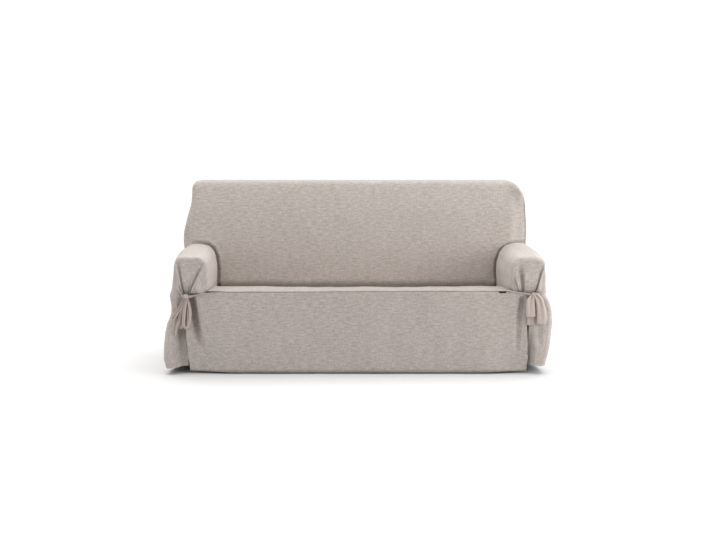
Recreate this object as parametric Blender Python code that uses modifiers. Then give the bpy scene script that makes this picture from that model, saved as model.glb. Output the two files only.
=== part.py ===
"""A fitted slipcover in the shape it has when it is pulled on, hollow inside.

Every panel that is cut and sewn is a thin sheet of its own: the skirt, the seat, the inside back, the
outside back with its two wings, and one cover for each arm. The arm fronts are folded in and drawn together
by two ribbons a side, tied in a drooping bow, and a small tab is sewn into the seat seam.

Axes: +X to the sitter's left (the right of the picture), -Y to the front, +Z up. The floor is z = 0.
"""

import math
from collections import namedtuple

import bmesh
import bpy
import numpy as np
from mathutils import Matrix

# ---------------------------------------------------------------- driving dimensions, in metres
CLOTH = 0.0028            # thickness of the heavy woven cloth
RIBBON = 0.0018           # thickness of the plain ribbon cloth
SEAM = 0.0009             # what two sewn edges stay apart

FRONT_Y = -0.414          # plane of the arm fronts and of the skirt
REAR_Y = 0.440            # rearmost plane of the outside back
HALF_WIDTH = 0.957        # middle to the outer side of the back
BACK_TOP = 0.992          # floor to the top of the back
SEAT_DEPTH = 0.530        # front plane to the crease of the back
CREASE_Z = 0.404          # height of the crease between seat and back
BACK_FOOT = 0.390         # the inside back runs on a little below the crease
BACK_LEAN = 0.170         # how far the back leans, per metre of height
BACK_CROWN = 0.014        # how far its middle swells forward
TOP_ROLL = 0.045          # radius of the back's front upper edge
SIDE_ROLL = 0.026         # radius of the back's upright edges
REAR_LEAN = 0.020         # how far the outside back leans to the rear, foot to top
SIDE_HEM = 0.036          # floor to the hem at the sides and the rear
NOTCH_Z = 0.560           # above this height the inside back has its full width

ARM_INNER = 0.790         # middle to the inner side of an arm, on average
ARM_OUTER = 0.960         # middle to its outer side, before the cloth stands out
ARM_TOP = 0.620           # at the front; an arm climbs a little to the rear
ARM_FOOT = 0.396          # the inner arm runs on a little below the seat
INNER_SHOULDER = 0.050    # radius of the arm's inner upper edge
OUTER_SHOULDER = 0.034    # radius of its outer upper edge
FRONT_ROLL = 0.018        # radius of its front edge
BAND_Z = 0.416            # height at which the ribbons draw an arm front together

SEAM_Z = 0.437            # height of the seam between seat and skirt
SKIRT_HALF = 0.890        # middle to the open side edge of the skirt, on average

BACK_CREASE_Y = FRONT_Y + SEAT_DEPTH
BACK_RISE = BACK_TOP - TOP_ROLL - BACK_FOOT

# Stretches of an arm's cross-section, from the seat up, over the top and down the outer side.
ARM_RISE = ARM_TOP - INNER_SHOULDER - ARM_FOOT
ARM_FLAT = ARM_OUTER - ARM_INNER - INNER_SHOULDER - OUTER_SHOULDER
QUARTER = math.pi / 2
TOP_START = ARM_RISE + INNER_SHOULDER * QUARTER
TOP_END = TOP_START + ARM_FLAT
DROP_START = TOP_END + OUTER_SHOULDER * QUARTER
BAND_STATION = DROP_START + ARM_TOP - OUTER_SHOULDER - BAND_Z
HEM_STATION = DROP_START + ARM_TOP - OUTER_SHOULDER - SIDE_HEM

# ---------------------------------------------------------------- the two sides, which differ
Reach = namedtuple("Reach", "height stand")             # how far the outer side stands out at a height
Pleat = namedtuple("Pleat", "station depth width step")  # a fold of the arm front: hollow and lap
Edge = namedtuple("Edge", "height half")                # half-width of the skirt at a height
Hem = namedtuple("Hem", "corner slit curl")             # how far the side's hem is lifted
# Where the arm front's lines end on the ribbons' line, as distances from the middle.
Gather = namedtuple("Gather", "foot inner_shoulder outer_shoulder band slit")
# corner: width and height of the back's rounded corner. taper: how much narrower the back is at its top.
# slack, swell, rear_stand: how far the wing, the arm's middle and its rear stand out. climb: the arm's rise to
# the rear. toe: how far the arm's inner side is off its average, front and rear. columns: the arm's grid.
# band: where the ribbons' line starts, bends and ends, as distance and height.
Side = namedtuple("Side", "name sign corner taper slack swell climb toe rear_stand columns reaches pleats "
                          "gather knot band edges hem")

LEFT = Side(
    name="left", sign=-1, corner=(0.036, 0.042), taper=0.008, slack=0.055, swell=0.016, climb=0.020,
    toe=(-0.002, 0.010), rear_stand=0.018,
    columns=[(0.150, 4), (0.203, 3), (0.215, 1), (0.227, 1), (0.329, 5), (0.341, 1), (0.353, 1),
             (BAND_STATION, 6), (HEM_STATION, 9)],
    reaches=[Reach(0.035, 0.050), Reach(0.08, 0.064), Reach(0.155, 0.061), Reach(0.22, 0.054),
             Reach(0.265, 0.043), Reach(0.32, 0.023), Reach(0.36, 0.020), Reach(0.417, 0.026),
             Reach(0.454, 0.013), Reach(0.52, 0.006), Reach(0.59, 0.003)],
    pleats=[Pleat(0.215, 0.010, 0.014, 0.009), Pleat(0.341, 0.009, 0.013, -0.008)],
    gather=Gather(0.824, 0.886, 0.911, 0.934, 0.896), knot=(0.8965, 0.411),
    band=[(0.757, 0.4315), (0.800, 0.4275), (0.950, 0.442)],
    edges=[Edge(0.0, 0.884), Edge(0.09, 0.892), Edge(0.16, 0.898), Edge(0.21, 0.904), Edge(0.39, 0.894),
           Edge(0.42, 0.889)],
    hem=Hem(-0.006, 0.020, 0.010))
RIGHT = Side(
    name="right", sign=1, corner=(0.100, 0.125), taper=0.0, slack=0.004, swell=-0.006, climb=0.026,
    toe=(0.010, -0.006), rear_stand=0.010,
    columns=[(0.150, 4), (0.200, 4), (0.241, 2), (0.253, 1), (0.265, 1), (0.345, 4), (0.357, 1), (0.369, 1),
             (BAND_STATION, 5), (HEM_STATION, 9)],
    reaches=[Reach(0.045, 0.026), Reach(0.09, 0.040), Reach(0.155, 0.052), Reach(0.22, 0.058),
             Reach(0.285, 0.062), Reach(0.332, 0.059), Reach(0.377, 0.047), Reach(0.403, 0.032),
             Reach(0.424, 0.022), Reach(0.438, 0.026), Reach(0.465, 0.022), Reach(0.517, 0.022),
             Reach(0.567, 0.018)],
    pleats=[Pleat(0.200, 0.005, 0.018, 0.0), Pleat(0.253, 0.012, 0.014, 0.0),
            Pleat(0.357, 0.009, 0.013, -0.008)],
    gather=Gather(0.826, 0.843, 0.912, 0.941, 0.897), knot=(0.917, 0.422),
    band=[(0.780, 0.4440), (0.822, 0.4360), (0.962, 0.434)],
    edges=[Edge(0.0, 0.888), Edge(0.09, 0.892), Edge(0.16, 0.893), Edge(0.31, 0.883), Edge(0.42, 0.887)],
    hem=Hem(0.008, 0.018, 0.0))
SIDES = (LEFT, RIGHT)

# ---------------------------------------------------------------- colours, as linear red, green and blue
Finish = namedtuple("Finish", "name colour roughness")
WOVEN = Finish("heather_cloth", (0.468, 0.418, 0.378), 0.95)
PLAIN = Finish("ribbon_cloth", (0.470, 0.385, 0.345), 0.90)
DARK = Finish("label_tape", (0.020, 0.018, 0.018), 0.70)

# ---------------------------------------------------------------- small helpers


def smooth(value, start, end):
    """Goes softly from 0 at start to 1 at end."""
    share = np.clip((value - start) / (end - start), 0.0, 1.0)
    return share * share * (3.0 - 2.0 * share)


def hump(value, centre, half):
    """A soft ridge of height 1 at the centre, gone at half to either side."""
    return 1.0 - smooth(np.abs(value - centre), 0.0, half)


def fold(distance, limit, radius):
    """Lays a distance along a face and round its edge: the place across, and the depth gone back."""
    start = limit - radius
    turn = np.clip((distance - start) / radius, 0.0, QUARTER)
    past = np.maximum(distance - start - radius * QUARTER, 0.0)
    across = np.minimum(distance, start) + radius * np.sin(turn)
    return across, radius * (1.0 - np.cos(turn)) + past


def fold_depth(across, limit, radius):
    """The depth that fold gives at a place across."""
    rise = np.clip(across - (limit - radius), 0.0, radius)
    return radius - np.sqrt(radius * radius - rise * rise)


def round_corner(x, z):
    """Rounds the back's two upper corners: each corner's rectangle is drawn in to a quarter of an ellipse."""
    for side in SIDES:
        wide, tall = side.corner
        p = np.clip((x * side.sign - (HALF_WIDTH - wide)) / wide, 0.0, 1.0)
        q = np.clip((z - (BACK_TOP - tall)) / tall, 0.0, 1.0)
        narrower = side.taper * smooth(x * side.sign, 0.80, HALF_WIDTH) * smooth(z, 0.80, 0.96)
        x = x - side.sign * (wide * p * (1.0 - np.sqrt(1.0 - q * q / 2.0)) + narrower)
        z = z - tall * q * (1.0 - np.sqrt(1.0 - p * p / 2.0))
    return x, z


def inner_wall(side, y):
    """Distance from the middle to an arm's inner side: the arms aren't quite parallel."""
    return ARM_INNER + np.interp(y, [FRONT_Y, BACK_CREASE_Y], side.toe)


def back_face(z):
    """Depth of the inside back's face at a height."""
    return BACK_CREASE_Y + BACK_LEAN * np.maximum(z - CREASE_Z, 0.0)


def back_front(x, z):
    """Depth of the inside back's face with its soft crown, which fades out at the sides and at the crease."""
    sideways = np.cos(np.clip(np.abs(x) / HALF_WIDTH, 0.0, 1.0) * QUARTER)
    upwards = np.sin(np.clip((z - BACK_FOOT) / BACK_RISE, 0.0, 1.0) * math.pi)
    return back_face(z) - BACK_CROWN * sideways * upwards


def rear_face(z):
    """Depth of the outside back at a height."""
    return REAR_Y - REAR_LEAN * (1.0 - smooth(z, 0.0, 0.8))


def spaced(share, stretches):
    """Places along a sheet: each stretch is (where it ends, how many cells it has), and share runs 0 to 1."""
    ends = [0.0] + [end for end, cells in stretches]
    counts = np.cumsum([0] + [cells for end, cells in stretches])
    return np.interp(share * counts[-1], counts, ends)


def cells_of(stretches):
    """How many cells a list of stretches has."""
    return sum(cells for end, cells in stretches)


# ---------------------------------------------------------------- objects and materials


def clear_scene():
    """Removes what the scene holds."""
    for thing in list(bpy.data.objects):
        bpy.data.objects.remove(thing, do_unlink=True)


def collection(name):
    """A new collection in the scene."""
    group = bpy.data.collections.new(name)
    bpy.context.scene.collection.children.link(group)
    return group


def material(finish, name):
    """A Principled material for one piece."""
    mat = bpy.data.materials.new(f"{finish.name}_{name}")
    mat.use_nodes = True
    shader = mat.node_tree.nodes["Principled BSDF"]
    shader.inputs["Base Color"].default_value = (*finish.colour, 1.0)
    shader.inputs["Roughness"].default_value = finish.roughness
    shader.inputs["Metallic"].default_value = 0.0
    return mat


def add_object(group, name, bm, finish):
    """Puts a finished bmesh into the scene as one smooth-shaded piece."""
    mesh = bpy.data.meshes.new(name)
    bm.to_mesh(mesh)
    bm.free()
    mesh.shade_smooth()
    mesh.materials.append(material(finish, name))
    piece = bpy.data.objects.new(name, mesh)
    group.objects.link(piece)
    return piece


def add_sheet(group, name, columns, rows, place, finish, thickness=CLOTH, drop=None, turned=False):
    """A panel: a flat grid moved to place(u, v), with its thickness to the inside.

    u runs 0 to 1 along the columns and v 0 to 1 along the rows. drop(u, v) says which points are cut away.
    turned is for a panel whose grid would face inwards.
    """
    bm = bmesh.new()
    bmesh.ops.create_grid(bm, x_segments=columns, y_segments=rows, size=0.5)
    flat = np.array([vert.co[:] for vert in bm.verts])
    u, v = flat[:, 0] + 0.5, flat[:, 1] + 0.5
    for vert, spot in zip(bm.verts, np.column_stack(place(u, v))):
        vert.co = spot
    if drop is not None:
        gone = drop(u, v)
        bmesh.ops.delete(bm, geom=[vert for vert, out in zip(bm.verts, gone) if out], context="VERTS")
    if turned:
        bmesh.ops.reverse_faces(bm, faces=bm.faces)
    piece = add_object(group, name, bm, finish)
    shell = piece.modifiers.new("thickness", "SOLIDIFY")
    shell.thickness = thickness
    shell.offset = -1.0
    return piece


# ---------------------------------------------------------------- inside back

SIDE_FOLD_END = HALF_WIDTH - SIDE_ROLL + SIDE_ROLL * QUARTER
STEM_HALF = ARM_INNER + 0.024   # the stem's raw edge lies inside the arm cover, as a seam allowance does
BACK_COLUMNS = [(STEM_HALF, 8), (HALF_WIDTH - SIDE_ROLL, 3), (SIDE_FOLD_END, 4)]
BACK_ROWS = [(CREASE_Z - BACK_FOOT, 1), (NOTCH_Z - BACK_FOOT, 3), (BACK_RISE - 0.06, 4), (BACK_RISE, 1),
             (BACK_RISE + TOP_ROLL * QUARTER, 4)]
STEM_CELLS = 4                  # rows of the stem, which end at the notch
TOP_CELLS = 3                   # rows of the flat top behind the roll
REAR_ROLL = SIDE_ROLL           # radius of the edge where the top and the outside back meet


def mirrored_columns(u, stretches):
    """Distance from the middle, negative on the left, and its size alone."""
    signed = 2.0 * u - 1.0
    distance = spaced(np.abs(signed), stretches)
    return np.sign(signed), distance


def inside_back_place(u, v):
    """The front of the back, rolled over its top and round its sides."""
    sign, across = mirrored_columns(u, BACK_COLUMNS)
    x, side_depth = fold(across, HALF_WIDTH, SIDE_ROLL)
    rows = cells_of(BACK_ROWS)
    on_face = np.minimum(v * (rows + TOP_CELLS) / rows, 1.0)
    on_top = np.clip(v * (rows + TOP_CELLS) - rows, 0.0, None) / TOP_CELLS
    top_length = rear_face(BACK_TOP) - TOP_ROLL - back_face(BACK_TOP) - REAR_ROLL - 2.0 * side_depth - SEAM
    up = spaced(on_face, BACK_ROWS) + on_top * top_length
    z, top_depth = fold(up, BACK_TOP - BACK_FOOT, TOP_ROLL)
    z = z + BACK_FOOT
    y = back_front(x, z) + side_depth + top_depth
    x, z = round_corner(sign * x, z)
    return x, y, z


def inside_back_notch(u, v):
    """Points of the inside back that lie below the arms' shoulders and beyond the stem."""
    _, across = mirrored_columns(u, BACK_COLUMNS)
    rows = cells_of(BACK_ROWS) + TOP_CELLS
    return (across > STEM_HALF + 0.001) & (v * rows < STEM_CELLS - 0.5)


def add_inside_back(group):
    """The T-shaped front of the back."""
    columns = 2 * cells_of(BACK_COLUMNS)
    rows = cells_of(BACK_ROWS) + TOP_CELLS
    return add_sheet(group, "inside_back", columns, rows, inside_back_place, WOVEN, drop=inside_back_notch)


# ---------------------------------------------------------------- outside back and its wings

REAR_COLUMNS = [(HALF_WIDTH - REAR_ROLL, 6), (SIDE_FOLD_END, 4)]
WING_CELLS = 5                  # columns of a wing
CORNER_GAP = 0.0024             # how far a wing's top edge stops short of the seam
REAR_RISE = BACK_TOP - SIDE_HEM - REAR_ROLL
REAR_ROWS = [(0.26, 2), (NOTCH_Z - 0.011 - SIDE_HEM, 3), (NOTCH_Z - 0.002 - SIDE_HEM, 1),
             (0.86, 4), (REAR_RISE, 2), (REAR_RISE + REAR_ROLL * QUARTER, 4)]


def wing_edge(z):
    """Depth of the seam at the front edge of a wing, by the height before the corners are rounded."""
    above = (z > NOTCH_Z - 0.006).astype(float)
    return back_face(z) + 2.0 * SEAM + above * (SIDE_ROLL + fold_depth(z, BACK_TOP, TOP_ROLL))


def outside_back_place(u, v):
    """The rear of the back, its top edge and the two wings that run forward to the arms."""
    signed = 2.0 * u - 1.0
    sign, share = np.sign(signed), np.abs(signed)
    cells = cells_of(REAR_COLUMNS)
    on_rear = np.minimum(share * (cells + WING_CELLS) / cells, 1.0)
    on_wing = np.clip(share * (cells + WING_CELLS) - cells, 0.0, None) / WING_CELLS
    z, top_depth = fold(spaced(v, REAR_ROWS), BACK_TOP - SIDE_HEM, REAR_ROLL)
    z = z + SIDE_HEM
    wing_length = rear_face(z) - top_depth - REAR_ROLL - wing_edge(z)
    x, side_depth = fold(spaced(on_rear, REAR_COLUMNS) + on_wing * wing_length, HALF_WIDTH, REAR_ROLL)
    y = rear_face(z) - top_depth - side_depth
    # The wings' top edges stop just short of the seam on the corners.
    z = z - CORNER_GAP * smooth(side_depth, 0.0, 0.5 * REAR_ROLL) * smooth(z, BACK_TOP - 0.02, BACK_TOP)
    slack = np.where(sign < 0, LEFT.slack, RIGHT.slack)
    swell = np.sin(on_wing * math.pi) * smooth(z, SIDE_HEM, 0.30) * (1.0 - smooth(z, 0.70, 0.93))
    x, z = round_corner(sign * x, z)
    return x + sign * slack * swell, y, z


def add_outside_back(group):
    """The wrap-round panel behind."""
    columns = 2 * (cells_of(REAR_COLUMNS) + WING_CELLS)
    rows = cells_of(REAR_ROWS)
    return add_sheet(group, "outside_back", columns, rows, outside_back_place, WOVEN, turned=True)


# ---------------------------------------------------------------- seat and skirt

# The seat sinks towards the crease: distance back from the front plane, and height.
SeatLine = namedtuple("SeatLine", "run rise")
SEAT_LINES = [SeatLine(0.0, SEAM_Z), SeatLine(0.0, 0.4410), SeatLine(0.005, 0.4455),
              SeatLine(0.020, 0.4480), SeatLine(0.060, 0.4485), SeatLine(0.140, 0.4450),
              SeatLine(0.230, 0.4390), SeatLine(0.340, 0.4300), SeatLine(0.430, 0.4200),
              SeatLine(0.500, 0.4110), SeatLine(SEAT_DEPTH, CREASE_Z)]
SEAT_SINK = 0.006               # how far the seat's middle lies below its sides


def seat_place(u, v):
    """The seat, from its front seam back to the crease."""
    steps = np.linspace(0.0, 1.0, len(SEAT_LINES))
    run = np.interp(v, steps, [line.run for line in SEAT_LINES])
    rise = np.interp(v, steps, [line.rise for line in SEAT_LINES])
    share = 2.0 * u - 1.0
    half = np.where(share < 0, inner_wall(LEFT, FRONT_Y + run), inner_wall(RIGHT, FRONT_Y + run))
    across = share * (half - SEAM)
    z = rise - SEAT_SINK * np.cos(share * QUARTER) * np.sin(run / SEAT_DEPTH * math.pi)
    back = np.minimum(FRONT_Y + run, back_front(across, z) - SEAM)
    return across, back, z


BAND_START = 0.720              # beyond this distance the skirt's upper edge dips to the ribbons


def band_height(x):
    """Height of the line on which the ribbons lie, from the seat seam to the knots."""
    left, right = [np.interp(side.sign * x, [BAND_START, side.band[1][0], side.gather.slit],
                             [SEAM_Z, side.band[1][1], BAND_Z]) for side in SIDES]
    return np.where(x < 0, left, right)


# An upright hollow of the skirt: its line as height and distance, and the heights where it begins and ends.
Trough = namedtuple("Trough", "line depth half begins full")
LEFT_TROUGH = Trough([(0.0, 0.812), (0.128, 0.820), (0.173, 0.831), (0.400, 0.868)],
                     depth=0.024, half=0.026, begins=0.10, full=0.34)
RIGHT_TROUGH = Trough([(0.0, 0.828), (0.125, 0.834), (0.256, 0.841), (0.378, 0.860)],
                      depth=0.015, half=0.024, begins=0.05, full=0.25)


def trough_depth(trough, across, z):
    """Depth of a soft upright hollow, which ends again just under the ribbons."""
    middle = np.interp(z, [low for low, _ in trough.line], [at for _, at in trough.line])
    upright = smooth(z, trough.begins, trough.full) * (1.0 - smooth(z, BAND_Z - 0.024, BAND_Z - 0.002))
    return trough.depth * upright * hump(across, middle, trough.half)


# The skirt's columns from the middle, closer together where the hollows are, and how its hem moves.
SKIRT_COLUMNS = [(0.70, 7), (SKIRT_HALF, 8)]
CORNER_LIFT = 0.006             # how far its lower corners are lifted
CORNER_SWING = 0.018            # how far they swing back
SKIRT_SAG = 0.006               # how far its middle hangs in


def skirt_place(u, v):
    """The skirt: it hangs from the seat seam and the ribbons, and its lower corners swing back a little."""
    sign, distance = mirrored_columns(u, SKIRT_COLUMNS)
    across = distance / SKIRT_HALF
    hem = CORNER_LIFT * smooth(across, 0.70, 1.0)
    rough_z = hem + v * (BAND_Z - hem)
    left, right = [np.interp(rough_z, *zip(*side.edges)) for side in SIDES]
    x = sign * across * np.where(sign < 0, left, right)
    z = hem + v * (band_height(x) - SEAM - hem)
    hollow = trough_depth(LEFT_TROUGH, -x, z) + trough_depth(RIGHT_TROUGH, x, z)
    sag = SKIRT_SAG * np.sin(v * math.pi) * np.cos(x / SKIRT_HALF * QUARTER)
    swing = CORNER_SWING * smooth(np.abs(x), 0.66, SKIRT_HALF) * (1.0 - smooth(z, 0.0, 0.30))
    return x, FRONT_Y + hollow + sag + swing, z


def add_seat(group):
    """The seat panel."""
    return add_sheet(group, "seat", 12, len(SEAT_LINES) - 1, seat_place, WOVEN)


def add_skirt(group):
    """The skirt under the seat's front edge."""
    return add_sheet(group, "front_skirt", 2 * cells_of(SKIRT_COLUMNS), 10, skirt_place, WOVEN)


# ---------------------------------------------------------------- arms

INNER_FOLD = 0.204         # station of the fold at the arm front's inner upper corner
OUTER_FOLD = 0.352         # station of the one at its outer upper corner
ARM_ROWS = 6               # rows from the back to the front edge
REAR_GAP = 0.0013          # what an arm's rear edge stays in front of the back
BEND_ROWS = 3              # rows round the front edge
FACE_ROWS = 6              # rows on the front
INNER_SAG = 0.006          # how far the inner side bows towards the seat
PUFF = 0.010               # how far the front bulges
PINCH = 0.004              # how far it is drawn in under the ribbons
SLIT_HOLLOW = 0.050        # how far the side's free edge turns in beside the slit


def arm_section(station):
    """The arm's cross-section: distance from the middle, and height, at a station along it."""
    rise = np.clip(station, 0.0, ARM_RISE)
    inner = np.clip(station - ARM_RISE, 0.0, INNER_SHOULDER * QUARTER) / INNER_SHOULDER
    flat = np.clip(station - TOP_START, 0.0, ARM_FLAT)
    outer = np.clip(station - TOP_END, 0.0, OUTER_SHOULDER * QUARTER) / OUTER_SHOULDER
    fall = np.maximum(station - DROP_START, 0.0)
    w = ARM_INNER + INNER_SHOULDER * (1.0 - np.cos(inner)) + flat + OUTER_SHOULDER * np.sin(outer)
    z = ARM_FOOT + rise + INNER_SHOULDER * np.sin(inner) - OUTER_SHOULDER * (1.0 - np.cos(outer)) - fall
    return w, z


def arm_place(side):
    """Makes the place function of one arm cover.

    A line of the cloth runs from the back along the arm, bends over the front edge, and then goes to its
    own point on the ribbon's line, or below that line to the open edge of the slit.
    """
    _, turn_point, sewn = side.band

    def place(u, v):
        station = spaced(u, side.columns)
        line = v * (ARM_ROWS + BEND_ROWS + FACE_ROWS)
        along = np.clip(line / ARM_ROWS, 0.0, 1.0)
        bend = np.clip((line - ARM_ROWS) / BEND_ROWS, 0.0, 1.0)
        face = np.clip((line - ARM_ROWS - BEND_ROWS) / FACE_ROWS, 0.0, 1.0)

        w, z = arm_section(station)
        on_side = smooth(station, TOP_END, DROP_START)
        # The outer side stands out near the front and lies flat by the rear seam.
        stand = np.interp(z, *zip(*side.reaches))
        flush = (HALF_WIDTH - ARM_OUTER) * (1.0 - along)
        w = w + on_side * (stand * smooth(along, 0.1, 1.0) + flush)
        w = w + side.swell * np.sin(along * math.pi) * on_side * smooth(z, 0.30, 0.56)
        w = w + side.rear_stand * (1.0 - along) * on_side * smooth(z, 0.53, 0.59)
        # The foot of the inner side climbs to the ribbon's line as it nears the front.
        foot = (1.0 - smooth(station, 0.0, ARM_RISE)) * smooth(along, 0.80, 0.98)
        z = z + foot * (turn_point[1] + 0.004 - ARM_FOOT)
        shoulders = smooth(station, 0.4 * ARM_RISE, TOP_START)
        shoulders = shoulders * (1.0 - smooth(station, DROP_START, DROP_START + 0.06))
        z = z + side.climb * (1.0 - along) * shoulders
        w = w - INNER_SAG * np.sin(along * math.pi) * hump(station, 0.140, 0.060)
        # The side's hem dips or lifts at the front corner.
        z = z + side.hem.corner * smooth(along, 0.5, 1.0) * smooth(station, BAND_STATION, HEM_STATION)

        rough_y = BACK_CREASE_Y + (FRONT_Y - BACK_CREASE_Y) * along
        w = w + (inner_wall(side, rough_y) - ARM_INNER) * (1.0 - smooth(station, TOP_START, TOP_END))
        rear = back_front(w, z) - REAR_GAP
        roll_start = FRONT_Y + FRONT_ROLL
        y = rear + (roll_start - rear) * along

        # Where the line ends on the front.
        stations = [0.0, INNER_FOLD, OUTER_FOLD, BAND_STATION, BAND_STATION + 0.06]
        end_w = np.interp(station, stations, side.gather)
        on_band = np.interp(end_w, [turn_point[0], side.gather.slit, sewn[0]],
                            [turn_point[1], BAND_Z, BAND_Z + 0.004]) + SEAM
        end_z = np.where(station < BAND_STATION, on_band, np.minimum(z, on_band - SEAM))
        # Below the ribbons the lines spread out again, and the hem rises towards the slit.
        near_hem = smooth(station, BAND_STATION + 0.05, HEM_STATION)
        end_z = end_z + side.hem.slit * near_hem

        run_w, run_z = end_w - w, end_z - z
        length = np.hypot(run_w, run_z)
        turn = bend * QUARTER
        gone = FRONT_ROLL * (1.0 - np.cos(turn)) + face * (length - FRONT_ROLL)
        w = w + run_w / length * gone
        z = z + run_z / length * gone + side.hem.curl * near_hem * np.sin(face * math.pi)
        y = y - FRONT_ROLL * np.sin(turn)

        # Puffs, pleats and the hollow of the slit.
        upper = 1.0 - smooth(station, BAND_STATION - 0.05, BAND_STATION + 0.02)
        puff = PUFF * np.sin(face * math.pi) ** 2 * upper * smooth(length, 0.05, 0.16)
        pinch = PINCH * smooth(face, 0.78, 1.0) * upper
        hollow = smooth(station, BAND_STATION + 0.005, BAND_STATION + 0.11) * smooth(face, 0.0, 0.85)
        hollow = SLIT_HOLLOW * hollow
        y = y - puff + hollow + pinch
        deep = (0.5 * bend + 0.5 * smooth(face, 0.0, 0.3)) * (1.0 - smooth(face, 0.80, 0.97))
        for pleat in side.pleats:
            y = y + deep * pleat.depth * hump(station, pleat.station, pleat.width)
            behind = (station - pleat.station) * np.sign(pleat.step)
            lap = smooth(-behind, 0.0, pleat.width) * (1.0 - smooth(-behind, pleat.width, 0.10))
            y = y - deep * abs(pleat.step) * lap
        return side.sign * w, y, z

    return place


def add_arm(group, side):
    """One arm cover, with its front folded in."""
    rows = ARM_ROWS + BEND_ROWS + FACE_ROWS
    return add_sheet(group, f"arm_{side.name}", cells_of(side.columns), rows, arm_place(side), WOVEN,
                     turned=side.sign > 0)


# ---------------------------------------------------------------- ties

Strip = namedtuple("Strip", "name route widths")   # route: (w, y, z) points; widths at each of them
KNOT_SIZE = (0.026, 0.020, 0.026)
KNOT_Y = FRONT_Y - 0.0165  # the knot's middle, clear in front of the cloth
TOUCH = 0.0004             # what a ribbon stays below its knot
CURL = 0.055               # how deep a hanging ribbon curls, as a share of its width


def strip_place(side, strip, upright):
    """Makes the place function of a ribbon: its width is carried along a smooth route.

    An upright strip has its width across X and hangs; any other has its width along Z and lies on the front.
    """
    route = np.array(strip.route)
    steps = np.linspace(0.0, 1.0, len(route))

    def place(u, v):
        spot = np.column_stack([np.interp(v, steps, route[:, axis]) for axis in range(3)])
        width = np.interp(v, steps, strip.widths) * (u - 0.5)
        curl = CURL * np.cos((u - 0.5) * 3.0 * math.pi) * np.interp(v, steps, strip.widths)
        if upright:
            spot[:, 0] += width
            spot[:, 1] += curl
        else:
            spot[:, 2] += width
        return side.sign * spot[:, 0], spot[:, 1], spot[:, 2]

    return place


def add_strip(group, side, strip, upright):
    """One stretch of ribbon."""
    turned = (side.sign < 0) if strip.name == "band_inner" else (side.sign > 0)
    return add_sheet(group, f"tie_{side.name}_{strip.name}", 4, 2 * (len(strip.route) - 1),
                     strip_place(side, strip, upright), PLAIN, RIBBON, turned=turned)


def add_block(group, name, size, centre, finish):
    """A small box-shaped piece."""
    bpy.ops.mesh.primitive_cube_add(size=1.0, location=centre)
    block = bpy.context.active_object
    block.name = name
    block.data.name = name
    block.data.transform(Matrix.Diagonal((*size, 1.0)))
    block.data.materials.append(material(finish, name))
    for owner in list(block.users_collection):
        owner.objects.unlink(block)
    group.objects.link(block)
    return block


def add_knot(group, side):
    """The knot: a small soft lump in front of the ribbon's line."""
    centre = (side.sign * side.knot[0], KNOT_Y, side.knot[1])
    knot = add_block(group, f"tie_{side.name}_knot", KNOT_SIZE, centre, PLAIN)
    round_edges = knot.modifiers.new("round_edges", "BEVEL")
    round_edges.width = 0.006
    round_edges.segments = 2
    return knot


def ties_of(side):
    """The stretches of ribbon of one side: two bands to the knot, and what hangs from it."""
    w, z = side.knot
    half = KNOT_SIZE[0] / 2.0
    lie_y = FRONT_Y - SEAM - RIBBON
    under = z - KNOT_SIZE[2] / 2.0 - TOUCH
    start, turn, sewn = side.band
    bands = [
        Strip("band_inner", [(w - half - SEAM, lie_y - 0.012, z), (w - 0.032, lie_y - 0.005, BAND_Z),
                             (turn[0] + 0.012, lie_y - 0.001, turn[1] - 0.002), (start[0], lie_y, start[1])],
              [0.014, 0.010, 0.008, 0.007]),
        Strip("band_outer", [(w + half + SEAM, lie_y - 0.012, z), (w + 0.028, lie_y - 0.006, sewn[1] - 0.010),
                             (sewn[0], lie_y - 0.003, sewn[1])],
              [0.014, 0.012, 0.010]),
    ]
    front, rear = KNOT_Y - 0.005, KNOT_Y + 0.003
    if side is LEFT:
        hangs = [
            Strip("tail_outer", [(w + 0.006, front, under), (w + 0.030, front - 0.003, z - 0.052),
                                 (w + 0.058, front, z - 0.096), (w + 0.073, front + 0.003, z - 0.117)],
                  [0.011, 0.016, 0.018, 0.014]),
            Strip("tail_back", [(w + 0.006, rear, under), (w + 0.022, rear + 0.004, z - 0.060),
                                (w + 0.048, rear + 0.006, z - 0.120), (w + 0.068, rear + 0.007, z - 0.184)],
                  [0.011, 0.024, 0.032, 0.034]),
            Strip("tail_middle", [(w - 0.006, rear, under), (w + 0.001, rear, z - 0.050),
                                  (w + 0.018, rear, z - 0.110), (w + 0.036, rear + 0.002, z - 0.166)],
                  [0.010, 0.016, 0.020, 0.022]),
            Strip("loop", [(w - 0.006, front, under), (w - 0.010, front - 0.004, z - 0.045),
                           (w - 0.008, front - 0.004, z - 0.100), (w + 0.000, front, z - 0.156)],
                  [0.011, 0.024, 0.036, 0.038]),
        ]
    else:
        hangs = [
            Strip("tail_inner", [(w - 0.008, front, under), (w - 0.015, front - 0.004, z - 0.032),
                                 (w - 0.018, front - 0.003, z - 0.070), (w - 0.016, front, z - 0.114)],
                  [0.014, 0.032, 0.042, 0.042]),
            Strip("tail_back", [(w - 0.006, rear, under), (w - 0.009, rear, z - 0.060),
                                (w - 0.013, rear, z - 0.120), (w - 0.013, rear + 0.002, z - 0.172)],
                  [0.012, 0.032, 0.038, 0.038]),
            Strip("loop", [(w + 0.008, front, under), (w + 0.020, front - 0.004, z - 0.032),
                           (w + 0.033, front - 0.002, z - 0.090), (w + 0.041, front, z - 0.162)],
                  [0.014, 0.032, 0.041, 0.043]),
        ]
    return bands, hangs


def add_ties(group, side):
    """Both ribbons of one side."""
    bands, hangs = ties_of(side)
    add_knot(group, side)
    for strip in bands:
        add_strip(group, side, strip, upright=False)
    for strip in hangs:
        add_strip(group, side, strip, upright=True)


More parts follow.
